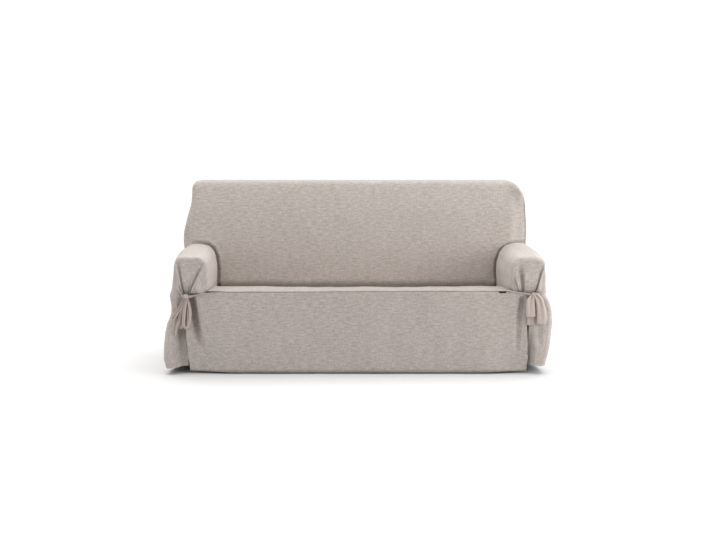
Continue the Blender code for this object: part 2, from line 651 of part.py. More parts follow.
# ---------------------------------------------------------------- label

LABEL_X = 0.755
LABEL_SIZE = (0.037, 0.0012, 0.009)


def add_label(group):
    """A small dark tab sewn into the seat seam."""
    centre = (LABEL_X, FRONT_Y - SEAM - LABEL_SIZE[1] / 2.0, SEAM_Z - 0.0015)
    return add_block(group, "label", LABEL_SIZE, centre, DARK)


def main():
    """Builds the cover."""
    clear_scene()
    group = collection("sofa_slipcover")
    add_inside_back(group)
    add_outside_back(group)
    add_seat(group)
    add_skirt(group)
    for side in SIDES:
        add_arm(group, side)
        add_ties(group, side)
    add_label(group)


main()
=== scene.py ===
"""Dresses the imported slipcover: draped cloth panels, tied ribbons, a seam tab, and the studio round them.

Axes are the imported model's: +X to the right of the picture, -Y to the front, +Z up, with the floor at z = 0,
in metres.
"""

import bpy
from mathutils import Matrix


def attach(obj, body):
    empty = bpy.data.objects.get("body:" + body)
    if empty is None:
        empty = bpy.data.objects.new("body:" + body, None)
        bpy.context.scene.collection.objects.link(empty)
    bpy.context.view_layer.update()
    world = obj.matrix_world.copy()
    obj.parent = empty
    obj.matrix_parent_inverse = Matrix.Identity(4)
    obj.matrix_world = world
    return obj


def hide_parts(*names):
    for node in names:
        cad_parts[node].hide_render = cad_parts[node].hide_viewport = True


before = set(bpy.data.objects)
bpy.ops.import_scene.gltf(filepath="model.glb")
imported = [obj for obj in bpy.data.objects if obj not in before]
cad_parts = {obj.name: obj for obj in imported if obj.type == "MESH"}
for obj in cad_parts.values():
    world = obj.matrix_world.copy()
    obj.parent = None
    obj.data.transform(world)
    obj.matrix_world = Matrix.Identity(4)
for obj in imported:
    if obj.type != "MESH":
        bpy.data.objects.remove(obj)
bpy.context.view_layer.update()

import logging
import math
from dataclasses import dataclass
from enum import Enum
from typing import Any, Sequence

import bpy
import numpy as np
from mathutils import Matrix, Vector

log = logging.getLogger("slipcover")
Array = np.ndarray
Point = tuple[float, float, float]
Line = tuple[tuple[float, float], ...]
QUARTER = math.pi / 2
NO_HEM = 1.0
SHARP_FROM = math.radians(62.0)


# ---------------------------------------------------------------------- soft steps
def ease(value: Array, start: float, end: float) -> Array:
    """Goes from 0 at start to 1 at end along 3 s^2 - 2 s^3."""
    share = np.clip((value - start) / (end - start), 0.0, 1.0)
    return share * share * (3.0 - 2.0 * share)


def ridge(value: Array, centre: Array | float, half: float) -> Array:
    """A soft ridge of height 1 at the centre, gone at half to either side."""
    return 1.0 - ease(np.abs(value - centre), 0.0, half)


def look_up(value: Array, table: Line) -> Array:
    """Reads a table of (place, amount) rows, straight between its rows."""
    places, amounts = zip(*table)
    return np.interp(value, places, amounts)


def steps(*stretches: tuple[float, int]) -> Array:
    """Places along a sheet.

    Args:
        stretches: where each stretch ends and how many cells it has; the first one starts at 0.

    Returns:
        The places of all grid lines, in order.
    """
    ends = [0.0, *(end for end, _ in stretches)]
    counts = np.cumsum([0, *(cells for _, cells in stretches)])
    return np.interp(np.arange(counts[-1] + 1), counts, ends)


def mirrored(half: Array) -> Array:
    """Places from the left side to the right, from those of one half."""
    return np.concatenate([-half[:0:-1], half])


def ripples(place: Array, height: float, first: tuple[float, float], second: tuple[float, float]) -> Array:
    """Uneven small waves: height times the product of two sines, each with its own pace and start."""
    return height * np.sin(place * first[0] + first[1]) * np.sin(place * second[0] + second[1])


def turned_hem(gap: Array, height: float = 0.0009) -> Array:
    """Relief of the cloth that is turned up along a hem, by the distance to the hem."""
    return height * (1.0 - ease(gap, 0.018, 0.024))


def roll_over(distance: Array, limit: float, radius: float) -> tuple[Array, Array]:
    """Lays a distance along a face and round its edge, on a quarter of a circle.

    Args:
        distance: how far along the cloth a point lies.
        limit: where the face ends.
        radius: radius of its edge.

    Returns:
        The place across the face, and the depth gone back.
    """
    start = limit - radius
    turn = np.clip((distance - start) / radius, 0.0, QUARTER)
    past = np.maximum(distance - start - radius * QUARTER, 0.0)
    return np.minimum(distance, start) + radius * np.sin(turn), radius * (1.0 - np.cos(turn)) + past


def roll_depth(across: Array, limit: float, radius: float) -> Array:
    """The depth that roll_over gives at a place across: r - sqrt(r^2 - rise^2)."""
    rise = np.clip(across - (limit - radius), 0.0, radius)
    return radius - np.sqrt(radius * radius - rise * rise)


@dataclass(frozen=True)
class Wave:
    """One slow wave of slack cloth: its height, its lengths along both directions, and its start."""

    height: float
    first: float
    second: float
    start: float = 0.0

    def relief(self, a: Array, b: Array) -> Array:
        """height * sin(2 pi (a / first + b / second) + start)."""
        return self.height * np.sin(2.0 * math.pi * (a / self.first + b / self.second) + self.start)


@dataclass(frozen=True)
class Crease:
    """A soft trough along a bent line, with a low lip on either side; a negative depth makes a ridge."""

    points: Line
    depth: float
    half: float

    def relief(self, a: Array, b: Array) -> Array:
        """Outward relief of the trough.

        With d the distance to the line over half, it is -depth (1 - d^2) exp(-d^2), and it fades to the
        line's two ends as the square root of a half sine.

        Args:
            a: first cloth coordinate.
            b: second cloth coordinate.

        Returns:
            The relief, in metres, outwards.
        """
        line = np.array(self.points)
        runs = np.diff(line, axis=0)
        lengths = np.hypot(runs[:, 0], runs[:, 1])
        before = np.concatenate([[0.0], np.cumsum(lengths)])
        nearest = np.full(np.broadcast(a, b).shape, 1e9)
        share = np.zeros(nearest.shape)
        for start, run, length, gone in zip(line, runs, lengths, before):
            part = np.clip(((a - start[0]) * run[0] + (b - start[1]) * run[1]) / length**2, 0.0, 1.0)
            away = np.hypot(a - start[0] - part * run[0], b - start[1] - part * run[1])
            share = np.where(away < nearest, (gone + part * length) / before[-1], share)
            nearest = np.minimum(away, nearest)
        scaled = (nearest / self.half) ** 2
        return -self.depth * (1.0 - scaled) * np.exp(-scaled) * np.sqrt(np.sin(share * math.pi).clip(0.0))


# ---------------------------------------------------------------------- shader maths
class Signal:
    """A number socket that can be used in sums; each operation adds its Math node."""

    def __init__(self, graph: "Graph", socket: bpy.types.NodeSocket) -> None:
        """Wraps one socket of a graph."""
        self.graph = graph
        self.socket = socket

    def __add__(self, other: Any) -> "Signal":
        """self + other."""
        return self.graph.maths("ADD", self, other)

    __radd__ = __add__

    def __sub__(self, other: Any) -> "Signal":
        """self - other."""
        return self.graph.maths("SUBTRACT", self, other)

    def __rsub__(self, other: Any) -> "Signal":
        """other - self."""
        return self.graph.maths("SUBTRACT", other, self)

    def __mul__(self, other: Any) -> "Signal":
        """self * other."""
        return self.graph.maths("MULTIPLY", self, other)

    __rmul__ = __mul__

    def __truediv__(self, other: Any) -> "Signal":
        """self / other."""
        return self.graph.maths("DIVIDE", self, other)

    def step(self, start: float, end: float) -> "Signal":
        """Goes softly from 0 at start to 1 at end."""
        settings = {"interpolation_type": "SMOOTHSTEP"}
        values = {"Value": self, "From Min": start, "From Max": end}
        return Signal(self.graph, self.graph.node("ShaderNodeMapRange", settings, values).outputs["Result"])


class Graph:
    """The nodes of one material or world."""

    def __init__(self, owner: bpy.types.Material | bpy.types.World) -> None:
        """Starts with an empty tree."""
        owner.use_nodes = True
        self.tree = owner.node_tree
        self.tree.nodes.clear()

    def node(self, kind: str, settings: dict[str, Any], values: dict[Any, Any]) -> bpy.types.Node:
        """Adds a node.

        Args:
            kind: the node's type.
            settings: its own settings, set first.
            values: value, Signal or socket for each of its input sockets, by name or number.

        Returns:
            The new node.
        """
        made = self.tree.nodes.new(kind)
        for name, setting in settings.items():
            setattr(made, name, setting)
        for name, value in values.items():
            socket = made.inputs[name]
            if isinstance(value, Signal):
                value = value.socket
            if isinstance(value, bpy.types.NodeSocket):
                self.tree.links.new(value, socket)
            else:
                socket.default_value = value
        return made

    def maths(self, operation: str, first: Any, second: Any = 0.0) -> Signal:
        """One Math node."""
        made = self.node("ShaderNodeMath", {"operation": operation}, {0: first, 1: second})
        return Signal(self, made.outputs[0])

    def attribute(self, name: str) -> Signal:
        """A number that the mesh carries at its points."""
        made = self.node("ShaderNodeAttribute", {"attribute_name": name}, {})
        return Signal(self, made.outputs["Fac"])

    def scaled(self, vector: bpy.types.NodeSocket, factors: Point) -> bpy.types.NodeSocket:
        """A vector times a fixed vector."""
        values = {0: vector, 1: factors}
        return self.node("ShaderNodeVectorMath", {"operation": "MULTIPLY"}, values).outputs[0]

    def noise(self, vector: bpy.types.NodeSocket, factors: Point, detail: float = 2.0) -> Signal:
        """Noise around 0, from about -0.5 to 0.5, on a stretched vector."""
        values = {"Vector": self.scaled(vector, factors), "Scale": 1.0, "Detail": detail, "Roughness": 0.55}
        return Signal(self, self.node("ShaderNodeTexNoise", {}, values).outputs[0]) - 0.5

    def mix(self, factor: Signal, first: Sequence[float], second: Sequence[float]) -> bpy.types.NodeSocket:
        """A colour between two colours."""
        values = {0: factor, 6: (*first, 1.0), 7: (*second, 1.0)}
        return self.node("ShaderNodeMix", {"data_type": "RGBA"}, values).outputs[2]


# ---------------------------------------------------------------------- finishes
class Finish(Enum):
    """The record's material slots."""

    HEATHER = "heather_cloth"
    RIBBON = "ribbon_cloth"
    LABEL = "label_tape"


@dataclass(frozen=True)
class Woven:
    """A plain-woven cloth, drawn in the piece's own cloth coordinates.

    dark and light are the two ends of its colour, and slub says how far the yarns vary between them. pitch is
    a yarn's width and relief its height. A hem is stitched at hem_line from its edge, with stitches of length
    stitch. weft and thin are the thick and thin yarns across, warp those upwards and patch the slow change of
    colour, each as marks per metre across and up. Where the mesh asks for it, the colour is darkened by
    painted shade, for pieces that lie in shade.
    """

    slot: Finish
    dark: Point
    light: Point
    slub: float
    pitch: float
    relief: float
    sheen: float
    hem_line: float = 0.021
    stitch: float = 0.0048
    roughness: float = 0.92
    weft: Point = (30.0, 118.0, 1.0)
    thin: Point = (112.0, 300.0, 1.0)
    warp: Point = (190.0, 46.0, 1.0)
    patch: Point = (7.0, 9.0, 1.0)
    painted_shade_strength: float = 0.20
    hem_shade: float = 0.10

    def material(self) -> bpy.types.Material:
        """Makes the finish's material.

        Returns:
            A Principled material; its colour, roughness and normal vary over the cloth.
        """
        made = bpy.data.materials.new(f"{self.slot.value}_woven")
        graph = Graph(made)
        cloth = graph.node("ShaderNodeUVMap", {"uv_map": "cloth"}, {}).outputs[0]
        weft, thin, warp = (graph.noise(cloth, yarns) for yarns in (self.weft, self.thin, self.warp))
        patch = graph.noise(cloth, self.patch, detail=1.0)
        tone = self.slub * (weft * 1.05 + thin * 1.10 + warp * 0.55) + patch * 0.10
        stitches, fold_edge = self.hem_marks(graph)
        # painted shade: a number on the mesh darkens the colour of pieces that lie in shade
        shade = 0.5 + tone - graph.attribute("painted_shade") * self.painted_shade_strength
        # the fold's edge is darkened as painted shade of the step where the turned-up cloth ends; the stitches
        # are darkened too
        shade = (shade - stitches * self.hem_shade - fold_edge * self.hem_shade).step(0.0, 1.0)
        weave = self.weave(graph, cloth)
        height = weave * 0.35 + weft * 0.9 + warp * 0.4 - stitches * 0.8 - fold_edge * 0.6
        values = {"Height": height, "Strength": 0.35, "Distance": self.relief}
        bump = graph.node("ShaderNodeBump", {}, values)
        shader = graph.node("ShaderNodeBsdfPrincipled", {}, {
            "Base Color": graph.mix(shade, self.dark, self.light),
            "Roughness": self.roughness + tone * 0.05,
            "Normal": bump.outputs[0],
            "Sheen Weight": self.sheen,
            "Sheen Roughness": 0.55,
            "Specular IOR Level": 0.20,
        })
        graph.node("ShaderNodeOutputMaterial", {}, {"Surface": shader.outputs[0]})
        return made

    def weave(self, graph: Graph, cloth: bpy.types.NodeSocket) -> Signal:
        """Over and under: the product of a sine across and a sine along, one yarn wide each."""
        parts = graph.node("ShaderNodeSeparateXYZ", {}, {0: cloth})
        turns = math.pi / self.pitch
        across = graph.maths("SINE", Signal(graph, parts.outputs[0]) * turns)
        along = graph.maths("SINE", Signal(graph, parts.outputs[1]) * turns)
        return across * along

    def hem_marks(self, graph: Graph) -> tuple[Signal, Signal]:
        """The stitches of a hem and the edge of its turned-up cloth.

        Args:
            graph: the material's nodes.

        Returns:
            Two masks: the stitches, as dashes at hem_line from the hem, and the fold's edge behind them.
        """
        gap, run = graph.attribute("hem_gap"), graph.attribute("hem_run")
        near = graph.maths("ABSOLUTE", gap - self.hem_line)
        dash = graph.maths("ABSOLUTE", graph.maths("FRACT", run / self.stitch) - 0.5)
        stitches = (1.0 - near.step(0.0003, 0.0009)) * (1.0 - dash.step(0.26, 0.36))
        behind = graph.maths("ABSOLUTE", gap - self.hem_line - 0.003)
        return stitches, 1.0 - behind.step(0.0002, 0.0012)


HEATHER = Woven(
    slot=Finish.HEATHER, dark=(0.335, 0.288, 0.255), light=(0.715, 0.655, 0.610), slub=0.62, pitch=0.0016,
    relief=0.0011, sheen=0.22)
RIBBON = Woven(
    slot=Finish.RIBBON, dark=(0.470, 0.385, 0.345), light=(0.685, 0.595, 0.548), slub=0.34, pitch=0.0009,
    relief=0.0006, sheen=0.20, hem_line=0.0030, stitch=0.0032)
LABEL = Woven(
    slot=Finish.LABEL, dark=(0.010, 0.009, 0.009), light=(0.036, 0.033, 0.032), slub=0.30, pitch=0.0005,
    relief=0.0002, sheen=0.05, roughness=0.80)


# ---------------------------------------------------------------------- cloth pieces
@dataclass
class Patch:
    """A grid of points with its cloth coordinates, both as arrays of rows and columns.

    hem_gap is how far each point is from the nearest hem, hem_run the way along that hem, and keep says
    which cells are there.
    """

    points: Array
    cloth: Array
    hem_gap: Array
    hem_run: Array
    keep: Array | None = None

    def outward(self, turned: bool) -> Array:
        """Unit normals: the cross product of the steps along columns and along rows."""
        down, across = np.gradient(self.points, axis=(0, 1))
        normals = np.cross(across, down)
        normals /= np.maximum(np.linalg.norm(normals, axis=2, keepdims=True), 1e-12)
        return -normals if turned else normals

    def raised(self, relief: Array, turned: bool) -> "Patch":
        """The same patch with each point moved along its normal by the relief."""
        moved = self.points + self.outward(turned) * relief[..., None]
        return Patch(moved, self.cloth, self.hem_gap, self.hem_run, self.keep)


@dataclass(frozen=True)
class Cut:
    """How a sheet was cut and how it is held; the last number says how much painted shade darkens its colour.
    """

    flat: tuple[float, float]
    held: str
    area: float | None = None
    rests_on: tuple[str, ...] = ()
    painted_shade: float = 0.0


class Workroom:
    """Turns patches into finished pieces."""

    def __init__(self) -> None:
        """Makes the three materials."""
        self.materials = {finish.slot: finish.material() for finish in (HEATHER, RIBBON, LABEL)}

    def sew(self, name: str, patches: Sequence[Patch], slot: Finish, thickness: float, turned: bool,
            cut: Cut, node: str) -> None:
        """Makes one sheet of cloth.

        Args:
            name: the piece's name.
            patches: the grids it consists of.
            slot: its finish.
            thickness: the cloth's thickness, which goes inwards.
            turned: whether the grids face inwards as they are.
            cut: the flat size and how the sheet is held.
            node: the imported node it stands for.
        """
        mesh = self.shell(name, patches, thickness, turned)
        # the mesh carries how much painted shade darkens its colour
        painted_shade = mesh.attributes.new("painted_shade", "FLOAT", "POINT")
        painted_shade.data.foreach_set("value", np.full(len(mesh.vertices), cut.painted_shade, dtype=np.float32))
        mesh.materials.append(self.materials[slot])
        piece = bpy.data.objects.new(name, mesh)
        bpy.context.scene.collection.objects.link(piece)
        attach(piece, "root")
        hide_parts(node)
        log.info("%s: %d faces", name, len(mesh.polygons))

    def shell(self, name: str, patches: Sequence[Patch], thickness: float, turned: bool) -> bpy.types.Mesh:
        """Joins grids into one mesh and gives it its thickness.

        Args:
            name: the mesh's name.
            patches: the grids.
            thickness: the cloth's thickness.
            turned: whether the faces are flipped.

        Returns:
            A closed mesh with its cloth coordinates and hem attributes.
        """
        points, faces, cloth, gaps, runs = [], [], [], [], []
        first = 0
        for patch in patches:
            rows, columns = patch.points.shape[:2]
            index = np.arange(rows * columns).reshape(rows, columns) + first
            quads = np.stack([index[:-1, :-1], index[:-1, 1:], index[1:, 1:], index[1:, :-1]], axis=-1)
            kept = quads.reshape(-1, 4) if patch.keep is None else quads[patch.keep]
            faces.append(kept[:, ::-1] if turned else kept)
            points.append(patch.points.reshape(-1, 3))
            cloth.append(patch.cloth.reshape(-1, 2))
            gaps.append(np.broadcast_to(patch.hem_gap, (rows, columns)).ravel())
            runs.append(np.broadcast_to(patch.hem_run, (rows, columns)).ravel())
            first += rows * columns
        points, faces, cloth = np.concatenate(points), np.concatenate(faces), np.concatenate(cloth)
        used, faces = np.unique(faces, return_inverse=True)
        faces = faces.reshape(-1, 4)
        flat = bpy.data.meshes.new(f"{name}_flat")
        flat.from_pydata(points[used], [], faces)
        layer = flat.uv_layers.new(name="cloth")
        layer.data.foreach_set("uv", cloth[used][faces.ravel()].astype(np.float32).ravel())
        for title, values in (("hem_gap", gaps), ("hem_run", runs)):
            attribute = flat.attributes.new(title, "FLOAT", "POINT")
            attribute.data.foreach_set("value", np.concatenate(values)[used].astype(np.float32))
        flat.shade_smooth()
        return self.thickened(name, flat, thickness)

    def thickened(self, name: str, flat: bpy.types.Mesh, thickness: float) -> bpy.types.Mesh:
        """Gives a flat mesh its thickness with Solidify, and keeps the edges of the cloth crisp."""
        carrier = bpy.data.objects.new(f"{name}_flat", flat)
        bpy.context.scene.collection.objects.link(carrier)
        solid = carrier.modifiers.new("thickness", "SOLIDIFY")
        solid.thickness = thickness
        solid.offset = -1.0
        graph = bpy.context.evaluated_depsgraph_get()
        mesh = bpy.data.meshes.new_from_object(carrier.evaluated_get(graph), depsgraph=graph)
        mesh.name = name
        mesh.set_sharp_from_angle(angle=SHARP_FROM)
        bpy.data.objects.remove(carrier)
        bpy.data.meshes.remove(flat)
        return mesh


# ---------------------------------------------------------------------- shared sizes
@dataclass(frozen=True)
class Fold:
    """A tuck of an arm front.

    station is its place along the cloth, inner_on_top says whether the cloth before it lies on top, and
    begins is how far down the front it starts. Beside it the cloth dips by gap, over a width of run; it lies
    deeper by depth beyond the tuck, whose edge stands up by rim.
    """

    station: float
    inner_on_top: bool
    begins: float = 0.0
    gap: float = 0.011
    run: float = 0.012
    rim: float = 0.0035
    depth: float = 0.0095


@dataclass(frozen=True)
class Flank:
    """What differs between the two sides. Places are distances from the middle, then heights.

    The back: corner is the width and height of its rounded upper corner, taper how far it narrows there,
    belly how far it stands out at half its height, and slack how far the cloth of its side bulges.

    The arm: front_roll is the radius of its front edge, rear_round how far its inner top edge is worn down at
    the back, swell how far its outer side bulges half-way along, climb how much higher it is at the back, toe
    how far its inner side is moved at the front and at the crease, rear_stand how far its outer top stands
    out at the back, and shoulder how far it bulges there further on. reaches holds, by height, how far the
    outer side stands out in front, and hem how far the hem is lifted in front and at the slit.

    The arm's front: folds are its two tucks. hollow is a dip, as its station, depth and half-width, and dent
    a shallow one below the ribbons. flap_puff is how full the inner flap is. gather holds how far out the
    lines of the cloth end, from the arm's foot to just below the outer ribbon. slit_hollow is how deep the
    slit goes, slit_from over which share of the way across, and slit_below over which distances below the
    ribbons; flare is how far the outer edge stands forward there.

    The ties and the skirt: knot is the knot's place, band the places where the inner ribbon is sewn on, where
    it turns, and where the outer one is sewn on. edges holds, by height, how wide the skirt is.
    """

    name: str
    sign: int
    corner: tuple[float, float]
    taper: float
    belly: float
    slack: float
    front_roll: float
    rear_round: float
    swell: float
    climb: float
    toe: tuple[float, float]
    rear_stand: float
    shoulder: float
    reaches: Line
    hem: tuple[float, float]
    folds: tuple[Fold, Fold]
    hollow: Point
    dent: float
    flap_puff: float
    gather: tuple[float, ...]
    slit_hollow: float
    slit_from: tuple[float, float]
    slit_below: tuple[float, float]
    flare: float
    knot: tuple[float, float]
    band: Line
    edges: Line


LEFT = Flank(
    name="left", sign=-1,
    corner=(0.036, 0.042), taper=0.008, belly=0.003, slack=0.047,
    front_roll=0.018, rear_round=0.011, swell=0.016, climb=0.020, toe=(-0.002, 0.010), rear_stand=0.018,
    shoulder=0.0,
    reaches=((0.035, 0.050), (0.08, 0.064), (0.155, 0.061), (0.22, 0.054), (0.265, 0.043), (0.32, 0.023),
             (0.36, 0.020), (0.417, 0.026), (0.454, 0.013), (0.52, 0.006), (0.57, 0.003), (0.602, -0.003)),
    hem=(-0.004, 0.004),
    folds=(Fold(0.196, True), Fold(0.372, False)),
    hollow=(0.120, 0.0, 0.030), dent=0.0, flap_puff=0.012,
    gather=(0.824, 0.886, 0.911, 0.934, 0.896),
    slit_hollow=0.050, slit_from=(0.22, 0.72), slit_below=(0.005, 0.11), flare=0.022,
    knot=(0.8965, 0.411), band=((0.757, 0.4315), (0.800, 0.4275), (0.950, 0.442)),
    edges=((0.0, 0.884), (0.09, 0.892), (0.16, 0.898), (0.21, 0.904), (0.39, 0.894), (0.42, 0.889)))
RIGHT = Flank(
    name="right", sign=1,
    corner=(0.096, 0.146), taper=0.0, belly=0.005, slack=0.004,
    front_roll=0.022, rear_round=0.016, swell=-0.006, climb=0.026, toe=(0.010, -0.006), rear_stand=0.010,
    shoulder=0.010,
    reaches=((0.045, 0.026), (0.09, 0.040), (0.155, 0.052), (0.22, 0.058), (0.285, 0.062), (0.332, 0.059),
             (0.377, 0.047), (0.403, 0.032), (0.424, 0.022), (0.438, 0.026), (0.465, 0.022), (0.517, 0.022),
             (0.567, 0.018)),
    hem=(0.008, 0.004),
    folds=(Fold(0.224, True, 0.10, 0.024, 0.030, 0.0, 0.004), Fold(0.391, False, depth=0.006)),
    hollow=(0.158, 0.010, 0.034), dent=0.011, flap_puff=0.003,
    gather=(0.826, 0.843, 0.922, 0.941, 0.897),
    slit_hollow=0.046, slit_from=(0.55, 1.0), slit_below=(0.06, 0.38), flare=0.010,
    knot=(0.917, 0.422), band=((0.780, 0.4440), (0.822, 0.4360), (0.962, 0.434)),
    edges=((0.0, 0.888), (0.09, 0.892), (0.16, 0.893), (0.31, 0.883), (0.42, 0.887)))
FLANKS = (LEFT, RIGHT)


@dataclass(frozen=True)
class Measures:
    """The sizes that the panels share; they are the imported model's."""

    cloth: float = 0.0026
    arm_cloth: float = 0.0018
    seam: float = 0.0009
    front_y: float = -0.414
    rear_y: float = 0.440
    half_width: float = 0.957
    back_top: float = 0.992
    seat_depth: float = 0.530
    crease_z: float = 0.404
    back_foot: float = 0.390
    back_lean: float = 0.170
    back_crown: float = 0.014
    top_roll: float = 0.045
    side_roll: float = 0.026
    rear_lean: float = 0.020
    side_hem: float = 0.036
    notch_z: float = 0.560
    arm_inner: float = 0.790
    arm_outer: float = 0.960
    arm_top: float = 0.620
    arm_foot: float = 0.396
    inner_shoulder: float = 0.050
    outer_shoulder: float = 0.034
    band_z: float = 0.416
    seam_z: float = 0.437
    skirt_half: float = 0.890
    tuck_in: float = 0.029
    wing_groove: float = 0.014
    seam_slant: float = 0.0040
    rear_drop: float = 0.020

    @property
    def crease_y(self) -> float:
        """Depth of the crease between seat and back."""
        return self.front_y + self.seat_depth

    @property
    def back_rise(self) -> float:
        """Length of the inside back up to its upper roll."""
        return self.back_top - self.top_roll - self.back_foot

    def back_face(self, z: Array) -> Array:
        """Depth of the inside back's face at a height."""
        return self.crease_y + self.back_lean * np.maximum(z - self.crease_z, 0.0)

    def back_front(self, x: Array, z: Array) -> Array:
        """The face with its soft crown, a cosine across times a half sine upwards."""
        sideways = np.cos(np.clip(np.abs(x) / self.half_width, 0.0, 1.0) * QUARTER)
        upwards = np.sin(np.clip((z - self.back_foot) / self.back_rise, 0.0, 1.0) * math.pi)
        return self.back_face(z) - self.back_crown * sideways * upwards

    def rear_face(self, z: Array) -> Array:
        """Depth of the outside back at a height."""
        return self.rear_y - self.rear_lean * (1.0 - ease(z, 0.0, 0.8))

    def belly(self, x: Array, z: Array) -> Array:
        """How far the back stands out sideways at half its height, with the sign of x."""
        most = np.where(x < 0, LEFT.belly, RIGHT.belly)
        return np.sign(x) * most * ridge(z, 0.725, 0.125) * ease(np.abs(x), 0.86, 0.95)

    def groove(self, side: Array, z: Array) -> Array:
        """How far the seam of the left side, where side is negative, is drawn in at a height."""
        return self.wing_groove * ridge(z, 0.68, 0.11) * (side < 0)

    def slant(self, x: Array) -> Array:
        """Lift of the seat seam, which is a little lower at the left."""
        return self.seam_slant * (ease(x, -0.55, 0.30) - 1.0) * (1.0 - ease(np.abs(x), 0.66, 0.76))

    def inner_wall(self, flank: Flank, y: Array) -> Array:
        """Distance from the middle to an arm's inner side."""
        return self.arm_inner + np.interp(y, [self.front_y, self.crease_y], flank.toe)

    def band_height(self, x: Array) -> Array:
        """Height of the line on which the ribbons lie, from the seat seam to the knots."""
        left, right = [
            np.interp(flank.sign * x, [0.72, flank.band[1][0], flank.gather[4]],
                      [self.seam_z, flank.band[1][1], self.band_z]) for flank in FLANKS]
        return np.where(x < 0, left, right) + self.slant(x)

    def round_corner(self, x: Array, z: Array) -> tuple[Array, Array]:
        """Draws each upper corner's rectangle in to a quarter of an ellipse."""
        for flank in FLANKS:
            wide, tall = flank.corner
            p = np.clip((x * flank.sign - (self.half_width - wide)) / wide, 0.0, 1.0)
            q = np.clip((z - (self.back_top - tall)) / tall, 0.0, 1.0)
            narrower = flank.taper * ease(x * flank.sign, 0.80, self.half_width) * ease(z, 0.80, 0.96)
            x = x - flank.sign * (wide * p * (1.0 - np.sqrt(1.0 - q * q / 2.0)) + narrower)
            z = z - tall * q * (1.0 - np.sqrt(1.0 - p * p / 2.0))
        return x, z


